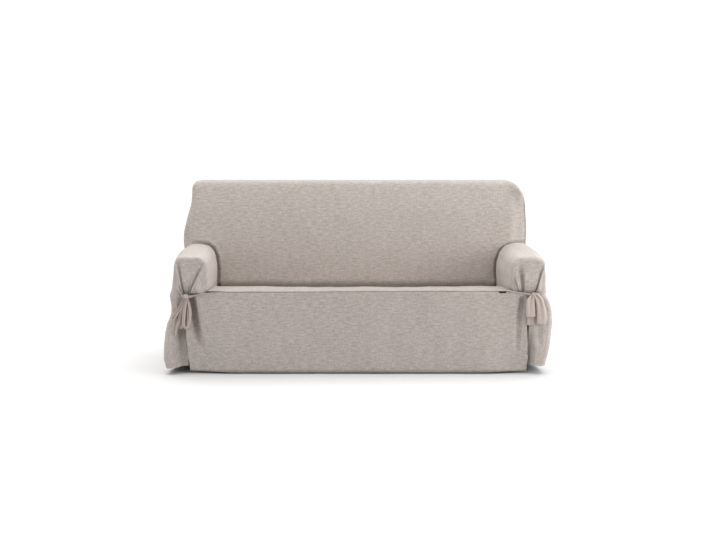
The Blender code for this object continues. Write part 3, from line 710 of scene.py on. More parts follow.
# ---------------------------------------------------------------------- the back
@dataclass
class BackCover:
    """The inside back, rolled over the top, and the outside back with its two wings.

    stem_half is half the width between the arms, and the lower, top and wing cells are rows of the grids that
    must agree. corner_gap lowers the outside back at its upper corners; upper_bow and right_bow are how far
    the inside back leans back above and turns away at the right.
    """

    m: Measures
    stem_half: float = 0.814
    lower_cells: int = 34
    top_cells: int = 12
    wing_cells: int = 44
    corner_gap: float = 0.0024
    upper_bow: float = 0.028
    right_bow: float = 0.018
    slack_waves: tuple[Wave, ...] = (
        Wave(0.0012, 0.71, 1.9, 0.4), Wave(0.0009, -0.43, 0.62, 1.7), Wave(0.0007, 0.29, 0.9, 2.9),
        Wave(0.0005, 0.16, -0.33, 0.8))
    front_creases: tuple[Crease, ...] = (
        Crease(((-0.84, 0.47), (-0.80, 0.58), (-0.72, 0.70)), 0.0026, 0.030),
        Crease(((0.80, 0.45), (0.79, 0.56), (0.74, 0.66)), 0.0022, 0.028),
        Crease(((-0.50, 0.42), (-0.47, 0.52), (-0.40, 0.60)), 0.0012, 0.030),
        Crease(((0.35, 0.415), (0.33, 0.50), (0.36, 0.57)), 0.0010, 0.030),
        Crease(((0.905, 0.66), (0.915, 0.78), (0.900, 0.90)), 0.0026, 0.022),
        Crease(((0.810, 0.30), (0.800, 0.42), (0.815, 0.56)), 0.016, 0.075),
        Crease(((-0.810, 0.30), (-0.805, 0.42), (-0.82, 0.54)), 0.008, 0.050))
    arm_valleys: tuple[Crease, Crease] = (
        Crease(((0.797, 0.36), (0.798, 0.50), (0.803, 0.56), (0.823, 0.608), (0.853, 0.632), (0.90, 0.641),
                (0.955, 0.641)), 0.022, 0.014),
        Crease(((0.790, 0.36), (0.786, 0.50), (0.792, 0.55), (0.812, 0.600), (0.850, 0.632), (0.90, 0.644),
                (0.950, 0.644)), 0.016, 0.013))
    rear_creases: tuple[Crease, ...] = (
        Crease(((-0.60, 0.95), (-0.52, 0.70), (-0.55, 0.40)), 0.0022, 0.050),
        Crease(((0.48, 0.93), (0.55, 0.66), (0.50, 0.36)), 0.0020, 0.050),
        Crease(((0.05, 0.90), (0.02, 0.62)), 0.0014, 0.045))

    @property
    def side_end(self) -> float:
        """Where the fold round the side ends, along the cloth."""
        return self.m.half_width - self.m.side_roll + self.m.side_roll * QUARTER

    def inside(self) -> Patch:
        """The inside back as a grid.

        Across, the cloth runs flat to the side roll and round it. Upwards it follows the leaning face, rolls
        over the front upper edge, and then lies flat to the seam on top.

        Returns:
            The patch, without the two lower corners, where the arms are.
        """
        m = self.m
        half = steps((0.70, 60), (self.stem_half, 26), (m.half_width - m.side_roll, 24), (self.side_end, 9))
        signed = mirrored(half)[None, :]
        face = steps((m.notch_z - m.back_foot, self.lower_cells), (0.300, 28), (m.back_rise, 26),
                     (m.back_rise + m.top_roll * QUARTER, self.top_cells))
        up = np.concatenate([face, np.full(self.top_cells, face[-1])])[:, None]
        on_top = np.linspace(0.0, 1.0, self.top_cells + 1)[1:]
        on_top = np.concatenate([np.zeros(len(face)), on_top])[:, None]
        sign, distance = np.sign(signed), np.abs(signed)
        x, side_depth = roll_over(distance, m.half_width, m.side_roll)
        length = m.rear_face(m.back_top) - m.top_roll - m.back_face(m.back_top) - m.side_roll - m.seam
        up = up + on_top * (length - 2.0 * side_depth)
        z, top_depth = roll_over(up, m.back_top - m.back_foot, m.top_roll)
        z = z + m.back_foot
        x, z = np.broadcast_arrays(x, z)
        y = m.back_front(x, z) + side_depth + top_depth
        cloth = np.stack(np.broadcast_arrays(signed, up), axis=-1)
        x, z = m.round_corner(sign * x, z)
        rows, columns = x.shape
        stem = distance[0, :-1] + distance[0, 1:] < 2.0 * self.stem_half
        keep = stem[None, :] | (np.arange(rows - 1) >= self.lower_cells)[:, None]
        away = np.full((rows, columns), NO_HEM)
        patch = Patch(np.stack([x, y, z], axis=-1), cloth, away, away, keep)
        inner = ease(m.half_width - np.abs(x), 0.004, 0.10) * ease(z, m.crease_z, m.crease_z + 0.05)
        inner = inner * (1.0 - ease(on_top, 0.4, 0.9))
        relief = sum(part.relief(x, z) for part in (*self.slack_waves, *self.front_creases)) * inner
        relief = relief - 0.0012 * ridge(on_top, 1.0, 0.12)
        for flank, valley in zip(FLANKS, self.arm_valleys):
            relief = relief + valley.relief(x * flank.sign, z)
        patch = patch.raised(relief, turned=False)
        patch.points[..., 1] += self.bows(x, z, side_depth, on_top)
        patch.points[..., 0] += m.groove(x, z) * ease(side_depth, 0.010, 0.026) + m.belly(x, z)
        return patch

    def bows(self, x: Array, z: Array, side_depth: Array, on_top: Array) -> Array:
        """How far the inside back bows away from the front.

        The foot is tucked in behind the seat, the upper part leans back on a square curve, and a strip along
        the right edge turns away; each fades out softly.

        Args:
            x: places across.
            z: heights.
            side_depth: depth of the side roll at each place.
            on_top: how far over the top each place is.

        Returns:
            The depth to add.
        """
        m = self.m
        tucked = m.tuck_in * (1.0 - ease(z, m.back_foot, m.back_foot + 0.054)) ** 2
        upper = np.clip((z - 0.76) / 0.20, 0.0, 1.0) ** 2 * (1.0 - ease(on_top, 0.0, 0.8))
        upper = upper * ease(m.half_width - np.abs(x), 0.015, 0.10)
        right = ease(x, 0.862, 0.942) * (1.0 - ease(side_depth, 0.003, 0.022))
        right = right * ease(z, m.notch_z, m.notch_z + 0.06) * (1.0 - ease(z, 0.86, 0.94))
        return tucked + self.upper_bow * upper + self.right_bow * right

    def wing_edge(self, z: Array) -> Array:
        """Depth of the seam at a wing's front edge, by the height before the corners are rounded."""
        m = self.m
        above = (z > m.notch_z - 0.003).astype(float)
        return m.back_face(z) + 2.0 * m.seam + above * (m.side_roll + roll_depth(z, m.back_top, m.top_roll))

    def outside(self) -> Patch:
        """The outside back as a grid.

        Across, the cloth runs over the rear, round the upright edge and forward to the wing's seam. Each wing
        has some slack, a half sine that stands out between its two edges; above the left arm it rises close
        behind the seam.

        Returns:
            The patch, with its hem along the foot.
        """
        m = self.m
        rear_roll = m.side_roll
        rear = steps((m.half_width - rear_roll, 60), (self.side_end, 9))
        count = len(rear) - 1
        order = mirrored(np.arange(count + self.wing_cells + 1, dtype=float))[None, :]
        sign, cell = np.sign(order), np.abs(order)
        on_rear = np.interp(cell, np.arange(count + 1), rear)
        on_wing = np.clip(cell - count, 0.0, None) / self.wing_cells
        rise = m.back_top - m.side_hem - rear_roll
        notch = m.notch_z - m.side_hem
        up = steps((0.03, 8), (notch - 0.005, 30), (notch - 0.001, 2), (rise, 34),
                   (rise + rear_roll * QUARTER, 9))
        z, top_depth = roll_over(up[:, None], m.back_top - m.side_hem, rear_roll)
        z = z + m.side_hem
        wing_length = m.rear_face(z) - top_depth - rear_roll - self.wing_edge(z)
        across = on_rear + on_wing * wing_length
        x, side_depth = roll_over(across, m.half_width, rear_roll)
        x, z, top_depth = np.broadcast_arrays(x, z, top_depth)
        y = m.rear_face(z) - top_depth - side_depth
        near_corner = ease(side_depth, 0.0, 0.5 * rear_roll) * ease(z, m.back_top - 0.02, m.back_top)
        z = z - self.corner_gap * near_corner
        slack = np.where(sign < 0, LEFT.slack, RIGHT.slack)
        bulge = np.sin(on_wing * math.pi)
        steep = ease(1.0 - on_wing, 0.08, 0.22) * (1.0 - ease(1.0 - on_wing, 0.50, 1.0))
        bulge = np.where(sign < 0, bulge + (steep - bulge) * ridge(z, 0.66, 0.15), bulge)
        swell = bulge * ease(z, m.side_hem, 0.30) * (1.0 - ease(z, 0.70, 0.93))
        cloth = np.stack(np.broadcast_arrays(sign * across, z), axis=-1)
        aside = m.groove(sign, z) * (1.0 - ease(1.0 - on_wing, 0.02, 0.10)) + sign * slack * swell
        x, z = m.round_corner(sign * x, z)
        spread = x + aside + m.belly(x, z) * ease(on_wing, 0.6, 1.0)
        z = z - m.rear_drop * (1.0 - ease(z, m.side_hem, 0.22))
        gap = np.broadcast_to(up[:, None], x.shape)
        patch = Patch(np.stack([spread, y, z], axis=-1), cloth, gap, cloth[..., 0])
        inner = (1.0 - ease(on_wing, 0.75, 0.98)) * (1.0 - ease(z, m.back_top - 0.06, m.back_top - 0.01))
        relief = sum(part.relief(x, z) for part in (*self.slack_waves, *self.rear_creases))
        relief = relief + ripples(x, 0.0030, (19.0, 0.6), (7.3, 0.0)) * (1.0 - ease(z, 0.04, 0.34))
        return patch.raised(relief * inner + turned_hem(gap, 0.0011), turned=True)

    def build(self, room: Workroom) -> None:
        """Sews both panels."""
        room.sew("inside_back_panel", [self.inside()], Finish.HEATHER, self.m.cloth, False,
                 Cut((1.98, 0.82), "stretched", area=1.50, rests_on=("outside_back", "seat")), "inside_back")
        room.sew("outside_back_panel", [self.outside()], Finish.HEATHER, self.m.cloth, True,
                 Cut((2.52, 0.97), "hung", rests_on=("inside_back",)), "outside_back")


# ---------------------------------------------------------------------- seat and skirt
@dataclass(frozen=True)
class Trough:
    """An upright hollow of the skirt, below a ribbon.

    line is its middle, as rows of height and distance from the middle of the skirt. It is depth deep, and
    half wide to either side. Going up, it begins at one height and is at its deepest from full.
    """

    line: Line
    depth: float
    half: float
    begins: float
    full: float

    def hollow(self, across: Array, z: Array, top: float) -> Array:
        """How far the cloth goes in.

        Args:
            across: distance of each point from the middle of the skirt.
            z: height of each point.
            top: the height where the hollow has ended again.

        Returns:
            A soft ridge across the line.
        """
        upright = ease(z, self.begins, self.full) * (1.0 - ease(z, top - 0.020, top))
        return self.depth * upright * ridge(across, look_up(z, self.line), self.half)


@dataclass
class SeatAndSkirt:
    """The seat panel and the skirt that hangs from its front seam.

    lines are the seat's cross-lines, from the front seam to the crease, as distance back and height, with
    line_cells cells between them, and sink is how far its middle sags. crease_step keeps it in front of the
    inside back. hem_height is the skirt's clearance at its middle, and hem_lift what its corners add.
    """

    m: Measures
    lines: Line = (
        (0.0, 0.4370), (0.0, 0.4402), (0.005, 0.4435), (0.020, 0.4452), (0.060, 0.4452), (0.140, 0.4430),
        (0.230, 0.4385), (0.340, 0.4240), (0.430, 0.4100), (0.500, 0.4010), (0.530, 0.3960))
    line_cells: tuple[int, ...] = (4, 4, 6, 8, 9, 9, 9, 8, 6, 4)
    sink: float = 0.006
    crease_step: float = 0.008
    hem_height: float = 0.0065
    hem_lift: float = 0.006
    troughs: tuple[Trough, Trough] = (
        Trough(((0.0, 0.812), (0.128, 0.822), (0.200, 0.843), (0.300, 0.862), (0.400, 0.875)),
               0.056, 0.031, 0.06, 0.32),
        Trough(((0.0, 0.828), (0.125, 0.834), (0.256, 0.841), (0.378, 0.860)), 0.022, 0.022, 0.02, 0.30))
    waves: tuple[Wave, ...] = (
        Wave(0.0014, 0.52, 2.0, 0.3), Wave(0.0010, 0.31, -1.1, 1.9), Wave(0.0008, 0.19, 0.8, 4.0),
        Wave(0.0005, 0.11, -0.6, 2.2))
    skirt_creases: tuple[Crease, ...] = (
        Crease(((-0.80, 0.425), (-0.70, 0.40), (-0.58, 0.39)), 0.0022, 0.020),
        Crease(((0.86, 0.41), (0.80, 0.36), (0.77, 0.28)), 0.0020, 0.018),
        Crease(((-0.878, 0.40), (-0.862, 0.33), (-0.868, 0.24)), -0.0030, 0.013),
        Crease(((0.60, 0.43), (0.58, 0.30), (0.60, 0.12)), 0.0012, 0.040),
        Crease(((-0.30, 0.43), (-0.27, 0.28), (-0.31, 0.10)), 0.0012, 0.045),
        Crease(((0.18, 0.42), (0.16, 0.24), (0.19, 0.06)), 0.0010, 0.045))

    def seat(self) -> Patch:
        """The seat, which sinks towards the crease as its table of lines says, and a little in its middle."""
        m = self.m
        order = np.cumsum([0, *self.line_cells])
        place = np.arange(order[-1] + 1)
        run = np.interp(place, order, [line[0] for line in self.lines])[:, None]
        rise = np.interp(place, order, [line[1] for line in self.lines])[:, None]
        share = np.linspace(-1.0, 1.0, 151)[None, :]
        left, right = (m.inner_wall(flank, m.front_y + run) for flank in FLANKS)
        x = share * (np.where(share < 0, left, right) - m.seam)
        z = rise - self.sink * np.cos(share * QUARTER) * np.sin(run / m.seat_depth * math.pi)
        z = z + m.slant(x) * (1.0 - ease(run, 0.03, 0.20))
        y = np.minimum(m.front_y + run, m.back_front(x, z) - m.seam)
        y = y + (m.tuck_in - self.crease_step) * ease(run, 0.44, 0.53)
        z = z - 0.010 * ease(run, 0.40, 0.52) * ease(m.arm_inner - np.abs(x), 0.004, 0.06)
        along = run + np.maximum(rise - m.seam_z, 0.0) * (run < 0.01)
        cloth = np.stack(np.broadcast_arrays(x, along), axis=-1)
        away = np.full(x.shape, NO_HEM)
        inner = ease(run, 0.006, 0.06) * (1.0 - ease(run, 0.42, 0.51))
        inner = inner * ease(m.arm_inner - np.abs(x), 0.0, 0.06)
        relief = sum(part.relief(x, run) for part in self.waves) * 0.8 * inner
        front = ease(run, 0.0, 0.004) * (1.0 - ease(run, 0.02, 0.10))
        relief = relief + ripples(x, 0.0012, (23.0, 1.1), (9.1, 0.0)) * front
        side = (1.0 - ease(m.arm_inner - np.abs(x), 0.0, 0.016)) * (1.0 - ease(run, 0.36, 0.48))
        relief = relief - 0.0060 * side * ease(run, 0.004, 0.03)
        relief = relief - 0.0020 * (1.0 - ease(run + rise - m.seam_z, 0.0, 0.005))
        return Patch(np.stack([x, y, z], axis=-1), cloth, away, away).raised(relief, turned=False)

    def skirt(self) -> Patch:
        """The skirt, which hangs from the seam and the ribbons and swings back at its lower corners."""
        m = self.m
        half = steps((0.62, 62), (0.78, 26), (m.skirt_half, 52))
        signed = mirrored(half)[None, :]
        v = steps((0.06, 10), (0.80, 46), (1.0, 22))[:, None]
        sign, across = np.sign(signed), np.abs(signed) / m.skirt_half
        hem = self.hem_height + self.hem_lift * ease(across, 0.70, 1.0)
        rough_z = hem + v * (m.band_z - hem)
        left, right = (look_up(rough_z, flank.edges) for flank in FLANKS)
        x = sign * across * np.where(sign < 0, left, right)
        z = hem + v * (m.band_height(x) - m.seam - hem)
        hollow = sum(part.hollow(flank.sign * x, z, m.band_z) for flank, part in zip(FLANKS, self.troughs))
        hollow = hollow + 0.009 * (1.0 - ease(z, 0.006, 0.022))
        sag = 0.006 * np.sin(v * math.pi) * np.cos(x / m.skirt_half * QUARTER)
        swing = 0.018 * ease(np.abs(x), 0.66, m.skirt_half) * (1.0 - ease(z, 0.0, 0.30))
        points = np.stack([x, m.front_y + hollow + sag + swing, z], axis=-1)
        cloth = np.stack(np.broadcast_arrays(signed, z), axis=-1)
        side_gap = m.skirt_half * (1.0 - across) + 0.002
        gap = np.minimum(z - hem + 0.004, side_gap)
        run = np.where(z - hem < side_gap, signed, z)
        relief = sum(part.relief(x, z) for part in (*self.waves, *self.skirt_creases))
        relief = relief * (1.0 - ease(v, 0.93, 0.995)) * ease(z, 0.0, 0.04)
        low = (1.0 - ease(z, 0.03, 0.30)) * ease(z, 0.0, 0.02)
        relief = relief + ripples(x, 0.0022, (17.0, 0.0), (6.1, 0.7)) * low
        relief = relief + turned_hem(gap) * (1.0 - ease(v, 0.9, 0.99))
        relief = relief - 0.0022 * ease(v, 0.985, 1.0)
        return Patch(points, cloth, gap, run).raised(relief, turned=False)

    def build(self, room: Workroom) -> None:
        """Sews both panels."""
        # the seat is darkened by painted shade, for the shade that the back and the arms cast on it
        room.sew("seat_panel", [self.seat()], Finish.HEATHER, self.m.cloth, False,
                 Cut((1.60, 0.545), "stretched", rests_on=("inside_back",), painted_shade=1.0), "seat")
        room.sew("front_skirt_panel", [self.skirt()], Finish.HEATHER, self.m.cloth, False,
                 Cut((1.80, 0.44), "hung", rests_on=("seat",)), "front_skirt")


# ---------------------------------------------------------------------- the arms
@dataclass
class ArmCover:
    """One arm cover.

    Its cloth coordinates are the station, which goes up the inner side, over the top and down the outer side,
    and the line, which runs from the back along the arm and down the folded-in front. A tuck takes up twice
    fold_half of cloth and goes over itself by fold_overlap; puff is the bulge of the front, and rear_gap is
    left free in front of the back.
    """

    m: Measures
    flank: Flank
    rear_gap: float = 0.0013
    fold_half: float = 0.014
    fold_overlap: float = 0.036
    puff: float = 0.012
    waves: tuple[Wave, ...] = (
        Wave(0.0010, 0.34, 0.9, 0.9), Wave(0.0008, -0.21, 0.38, 2.4), Wave(0.0005, 0.12, 0.31, 4.4))

    @property
    def turns(self) -> tuple[float, float, float, float, float]:
        """Stations where inner side, inner shoulder, top and outer shoulder end, and that of the hem."""
        m = self.m
        rise = m.arm_top - m.inner_shoulder - m.arm_foot
        top_start = rise + m.inner_shoulder * QUARTER
        top_end = top_start + m.arm_outer - m.arm_inner - m.inner_shoulder - m.outer_shoulder
        drop = top_end + m.outer_shoulder * QUARTER
        return rise, top_start, top_end, drop, drop + m.arm_top - m.outer_shoulder - m.side_hem

    @property
    def band_station(self) -> float:
        """Station of the point that the outer ribbon holds."""
        m = self.m
        return self.turns[3] + m.arm_top - m.outer_shoulder - m.band_z

    def section(self, station: Array) -> tuple[Array, Array]:
        """The cross-section: two straight sides and a flat top, joined by quarters of circles.

        Args:
            station: places along the cloth.

        Returns:
            Distance from the middle of the seat, and height.
        """
        m = self.m
        rise, top_start, top_end, drop, _ = self.turns
        inner = np.clip(station - rise, 0.0, m.inner_shoulder * QUARTER) / m.inner_shoulder
        flat = np.clip(station, top_start, top_end) - top_start
        outer = np.clip(station - top_end, 0.0, m.outer_shoulder * QUARTER) / m.outer_shoulder
        w = m.arm_inner + m.inner_shoulder * (1.0 - np.cos(inner)) + flat
        w = w + m.outer_shoulder * np.sin(outer)
        z = m.arm_foot + np.clip(station, 0.0, rise) + m.inner_shoulder * np.sin(inner)
        return w, z - m.outer_shoulder * (1.0 - np.cos(outer)) - np.maximum(station - drop, 0.0)

    def tuck(self, station: Array, bend: Array, face: Array) -> tuple[Array, Array]:
        """The two tucks of the front, each an S laid flat.

        Within half of a tuck the place along the cloth goes forward, back under itself and forward again, on
        a cubic curve, while the cloth sinks by its depth; between the tucks it stays sunk. Beside the fold it
        dips, and the fold's edge stands up.

        Args:
            station: places along the cloth.
            bend: how far round the front edge each line is.
            face: how far down the front each line is.

        Returns:
            The shift along the cloth, and how deep the cloth lies.
        """
        half, over = self.fold_half, self.fold_overlap
        shift = np.zeros(np.broadcast(station, face).shape)
        depth = np.zeros(shift.shape)
        for fold in self.flank.folds:
            deep = ease(0.6 * bend + 2.2 * (face - fold.begins), 0.25, 1.5)
            deep = deep * (1.0 - 0.55 * ease(face, 0.88, 1.0))
            away = station - fold.station
            t = np.clip((away + half) / (2.0 * half), 0.0, 1.0)
            place = half * (t**3 - (1 - t) ** 3) + 3 * over * (1 - t) * t * (1 - 2 * t)
            shift = shift + deep * np.where((t > 0) & (t < 1), place - away, 0.0)
            step = 3 * (1 - t) * t**2 + t**3
            under, away = (t, away) if fold.inner_on_top else (1 - t, -away)
            sunk = fold.depth * (step if fold.inner_on_top else -step)
            sunk = sunk + fold.gap * ease(under, 0.4, 1.0) * (1.0 - ease(away - half, 0.0, fold.run))
            sunk = sunk - fold.rim * ridge(away, -half, 0.018)
            depth = depth + deep * sunk
        return shift, depth

    def surface(self, station: Array, line: Array) -> tuple[Array, Array]:
        """Points of the arm cover.

        Each line of the cloth runs along the arm, bends over the front edge on a quarter of a circle, and
        then goes straight to its own point on the ribbons' line, or below it to the open edge of the slit.

        Args:
            station: places across, as a row.
            line: places along, as a column: 0 to 1 on the arm, 1 to 2 on the bend, 2 to 3 on the front.

        Returns:
            The points, and the distance along each line.
        """
        m, flank = self.m, self.flank
        rise, top_start, top_end, drop, hem_station = self.turns
        band_station = self.band_station
        along, bend = np.clip(line, 0.0, 1.0), np.clip(line - 1.0, 0.0, 1.0)
        face = np.clip(line - 2.0, 0.0, 1.0)
        shift, sunk = self.tuck(station, bend, face)
        cloth_station = station
        station = station + shift

        w, z = self.section(station)
        on_side = ease(station, top_end, drop)
        stand = look_up(z, flank.reaches) * ease(along, 0.1, 1.0)
        w = w + on_side * (stand + (m.half_width - m.arm_outer) * (1.0 - along))
        w = w + flank.swell * np.sin(along * math.pi) * on_side * ease(z, 0.30, 0.56)
        w = w + flank.rear_stand * (1.0 - along) * ease(along, 0.0, 0.06) * on_side * ease(z, 0.53, 0.59)
        outer_edge = ridge(station, 0.5 * (top_end + drop), 0.100)
        shoulder = flank.shoulder * np.sin(along**1.5 * math.pi) * outer_edge
        w, z = w + shoulder, z + 0.6 * shoulder
        foot = (1.0 - ease(station, 0.0, rise)) * ease(along, 0.80, 0.98)
        z = z + foot * (flank.band[1][1] + 0.004 - m.arm_foot)
        shoulders = ease(station, 0.4 * rise, top_start) * (1.0 - ease(station, drop, drop + 0.06))
        z = z + flank.climb * (1.0 - along) * shoulders
        w = w - 0.009 * np.sin(along**0.7 * math.pi) * ridge(station, 0.105, 0.085)
        w = w - 0.004 * ridge(station, 0.050, 0.050) * ease(along, 0.05, 0.3)
        corner = ridge(station, rise + 0.5 * m.inner_shoulder * QUARTER, 0.100)
        corner = corner * (1.0 - 0.8 * ease(along, 0.2, 1.0))
        w = w + flank.rear_round * corner
        z = z - flank.rear_round * corner
        low = ease(station, band_station, hem_station)
        z = z + (flank.hem[0] * ease(along, 0.5, 1.0) - m.rear_drop * (1.0 - ease(along, 0.75, 0.99))) * low
        rough_y = m.crease_y + (m.front_y - m.crease_y) * along
        w = w + (m.inner_wall(flank, rough_y) - m.arm_inner) * (1.0 - ease(station, top_start, top_end))
        rear = m.back_front(w, z) - self.rear_gap
        round_side = np.clip(w - m.half_width + m.side_roll, 0.0, m.side_roll)
        around = m.side_roll + self.rear_gap
        behind = around - np.sqrt(around**2 - round_side**2)
        rear = rear + behind * ease(z, m.notch_z - 0.010, m.notch_z + 0.002)
        distance = (m.front_y + flank.front_roll - rear) * along
        y = rear + distance

        ends = [0.0, 0.204, 0.352, band_station, band_station + 0.06]
        end_w = np.interp(station, ends, flank.gather)
        on_band = np.interp(end_w, [flank.band[1][0], flank.gather[4], flank.band[2][0]],
                            [flank.band[1][1], m.band_z, m.band_z + 0.004]) + m.seam
        end_z = np.where(station < band_station, on_band, np.minimum(z, on_band - m.seam))
        below = np.clip(station - band_station, 0.0, None)
        held = on_band - m.seam - below * ease(below, 0.02, 0.13)
        end_z = np.where(station < band_station, end_z, np.minimum(np.maximum(end_z, held), on_band))
        end_z = end_z + flank.hem[1] * ease(station, band_station + 0.05, hem_station)
        run_w, run_z = end_w - w, end_z - z
        length = np.hypot(run_w, run_z)
        turn = bend * QUARTER
        gone = flank.front_roll * (1.0 - np.cos(turn)) + face * (length - flank.front_roll)
        w = w + run_w / length * gone
        z = z + run_z / length * gone
        y = y - flank.front_roll * np.sin(turn)

        upper = 1.0 - ease(station, band_station - 0.05, band_station + 0.02)
        out = self.puff * np.sin(face**1.5 * math.pi) ** 2 * upper * ease(length, 0.04, 0.14)
        inner_flap = 1.0 - ease(station, flank.folds[0].station - 0.02, flank.folds[0].station + 0.03)
        out = out + flank.flap_puff * inner_flap * np.sin(face**1.8 * math.pi) * ease(length, 0.02, 0.08)
        pinch = (0.011 + 0.006 * inner_flap) * ease(face, 0.84, 1.0) * upper
        below_band = station - band_station
        slit = ease(below_band, *flank.slit_below) * ease(face, *flank.slit_from)
        dent = flank.dent * ridge(below_band, 0.205, 0.085) * ridge(face, 0.52, 0.30)
        gathers = np.sin(cloth_station * 2.0 * math.pi / 0.026 + 1.0) * np.sin(cloth_station * 41.0 + 0.5)
        gathers = 0.0030 * gathers * ease(face, 0.35, 0.95) * upper
        place, hollow_depth, hollow_half = flank.hollow
        hollow = hollow_depth * ridge(station, place, hollow_half)
        hollow = hollow * ease(face, 0.1, 0.5) * (1.0 - ease(face, 0.9, 1.0))
        out = out + flank.flare * ease(station, band_station + 0.08, hem_station) * ease(bend, 0.0, 1.0)
        y = y - out + pinch + flank.slit_hollow * slit + dent + gathers + hollow + sunk
        distance = -distance + flank.front_roll * turn + face * (length - flank.front_roll)
        points = np.stack(np.broadcast_arrays(flank.sign * w, y, z), axis=-1)
        return points, np.broadcast_to(distance, points.shape[:2])

    def patch(self) -> Patch:
        """The arm cover as a grid, with a closer mesh at the tucks and the front."""
        m = self.m
        first, second = (fold.station for fold in self.flank.folds)
        half = self.fold_half
        hem = self.turns[4]
        station = steps((0.10, 16), (first - half, 20), (first + half, 26), (second - half, 20),
                        (second + half, 26), (self.band_station, 36), (hem - 0.03, 58), (hem, 7))[None, :]
        line = np.concatenate([np.linspace(0.0, 1.0, 47)[:-1], np.linspace(1.0, 2.0, 13)[:-1],
                               2.0 + steps((0.85, 52), (1.0, 14))])[:, None]
        points, distance = self.surface(station, line)
        cloth = np.stack(np.broadcast_arrays(station, distance), axis=-1)
        turned = self.flank.sign > 0
        gap = np.broadcast_to(hem - station + 0.002, points.shape[:2])
        inner = ease(line, 0.0, 0.12) * (1.0 - ease(line, 2.0, 2.8)) * ease(station, 0.03, 0.10)
        inner = inner * (1.0 - 0.7 * ease(np.broadcast_to(station, inner.shape), hem - 0.10, hem))
        relief = sum(part.relief(station, distance) for part in self.waves) * inner
        relief = relief + turned_hem(gap) * ease(line, 0.0, 0.1)
        relief = relief - 0.0070 * (1.0 - ease(line, 0.0, 0.035)) * (1.0 - ease(station, 0.42, 0.50))
        foot = (1.0 - ease(station, 0.0, 0.016)) * (1.0 - ease(line, 2.0, 2.4))
        relief = relief - 0.0060 * foot * ease(line, 0.06, 0.25)
        return Patch(points, cloth, gap, distance).raised(relief, turned)

    def build(self, room: Workroom) -> None:
        """Sews the cover."""
        name = self.flank.name
        room.sew(f"arm_{name}_cover", [self.patch()], Finish.HEATHER, self.m.arm_cloth, self.flank.sign > 0,
                 Cut((0.945, 0.74), "gathered", area=0.62, rests_on=("inside_back", "seat")), f"arm_{name}")


# ---------------------------------------------------------------------- the ties
@dataclass(frozen=True)
class Tape:
    """A stretch of ribbon carried along a path.

    path holds distance from the middle, depth and height of points of its middle line, widths what is seen
    of its width at them, and facing the direction of its width, as shares of X and Y. Where the seen width
    is less than the flat one the ribbon is laid in pleats, so that its width is kept.
    """

    path: tuple[Point, ...]
    widths: tuple[float, ...]
    facing: tuple[Point, ...] = ((1.0, 0.0, 0.0),)
    flat_width: float = 0.040
    pleats: int = 4
    curl: float = 0.0
    phase: float = 0.4
    rows: int = 64
    columns: int = 24

    def curve(self, values: Sequence[Sequence[float]]) -> Array:
        """Carries rows of values smoothly through all of them.

        It is a cubic with the slopes of its neighbours, (next - previous) / 2, sampled evenly.

        Args:
            values: the rows.

        Returns:
            One row of values for each row of the ribbon's grid.
        """
        table = np.array(values, dtype=float)
        if len(table) == 1:
            return np.repeat(table, self.rows + 1, axis=0)
        place = np.linspace(0.0, len(table) - 1.0, self.rows + 1)
        index = np.minimum(place.astype(int), len(table) - 2)
        t = (place - index)[:, None]
        slopes = np.gradient(table, axis=0)
        start, end = table[index], table[index + 1]
        return ((2 * t**3 - 3 * t**2 + 1) * start + (t**3 - 2 * t**2 + t) * slopes[index]
                + (3 * t**2 - 2 * t**3) * end + (t**3 - t**2) * slopes[index + 1])

    def patch(self, sign: int) -> Patch:
        """The ribbon as a grid.

        Across it, the points lie on a rounded zigzag: as deep as keeps the flat width, since a zigzag of n
        runs of depth h on width w is sqrt(w^2 + (n h)^2) long.

        Args:
            sign: -1 for the left side, which mirrors X, and 1 for the right.

        Returns:
            The patch.
        """
        middle = self.curve(self.path)
        step = np.gradient(middle, axis=0)
        length = np.concatenate([[0.0], np.cumsum(np.linalg.norm(np.diff(middle, axis=0), axis=1))])
        step /= np.linalg.norm(step, axis=1, keepdims=True)
        across = self.curve(self.facing)
        across = across - step * np.sum(across * step, axis=1, keepdims=True)
        across /= np.linalg.norm(across, axis=1, keepdims=True)
        normal = np.cross(step, across)
        width = self.curve([[value] for value in self.widths])[:, 0]
        depth = np.sqrt(np.maximum(self.flat_width**2 - width**2, 0.0)) / self.pleats
        u = np.linspace(-0.5, 0.5, self.columns + 1)
        zigzag = np.arcsin(np.sin((u + 0.5) * self.pleats * math.pi + self.phase) * 0.96) / math.pi
        bow = self.curl * (0.25 - u * u) * 4.0
        offset = depth[:, None] * zigzag[None, :] + width[:, None] * bow[None, :]
        points = middle[:, None, :] + across[:, None, :] * (width[:, None] * u)[..., None]
        points = points + normal[:, None, :] * offset[..., None]
        points = points * np.array([sign, 1.0, 1.0])
        cloth = np.stack(np.broadcast_arrays(u[None, :] * self.flat_width, length[:, None]), axis=-1)
        gap = np.broadcast_to((0.5 - np.abs(u)) * self.flat_width, points.shape[:2])
        return Patch(points, cloth, gap, cloth[..., 1])

    def length(self) -> float:
        """Length of the middle line."""
        return float(np.linalg.norm(np.diff(self.curve(self.path), axis=0), axis=1).sum())


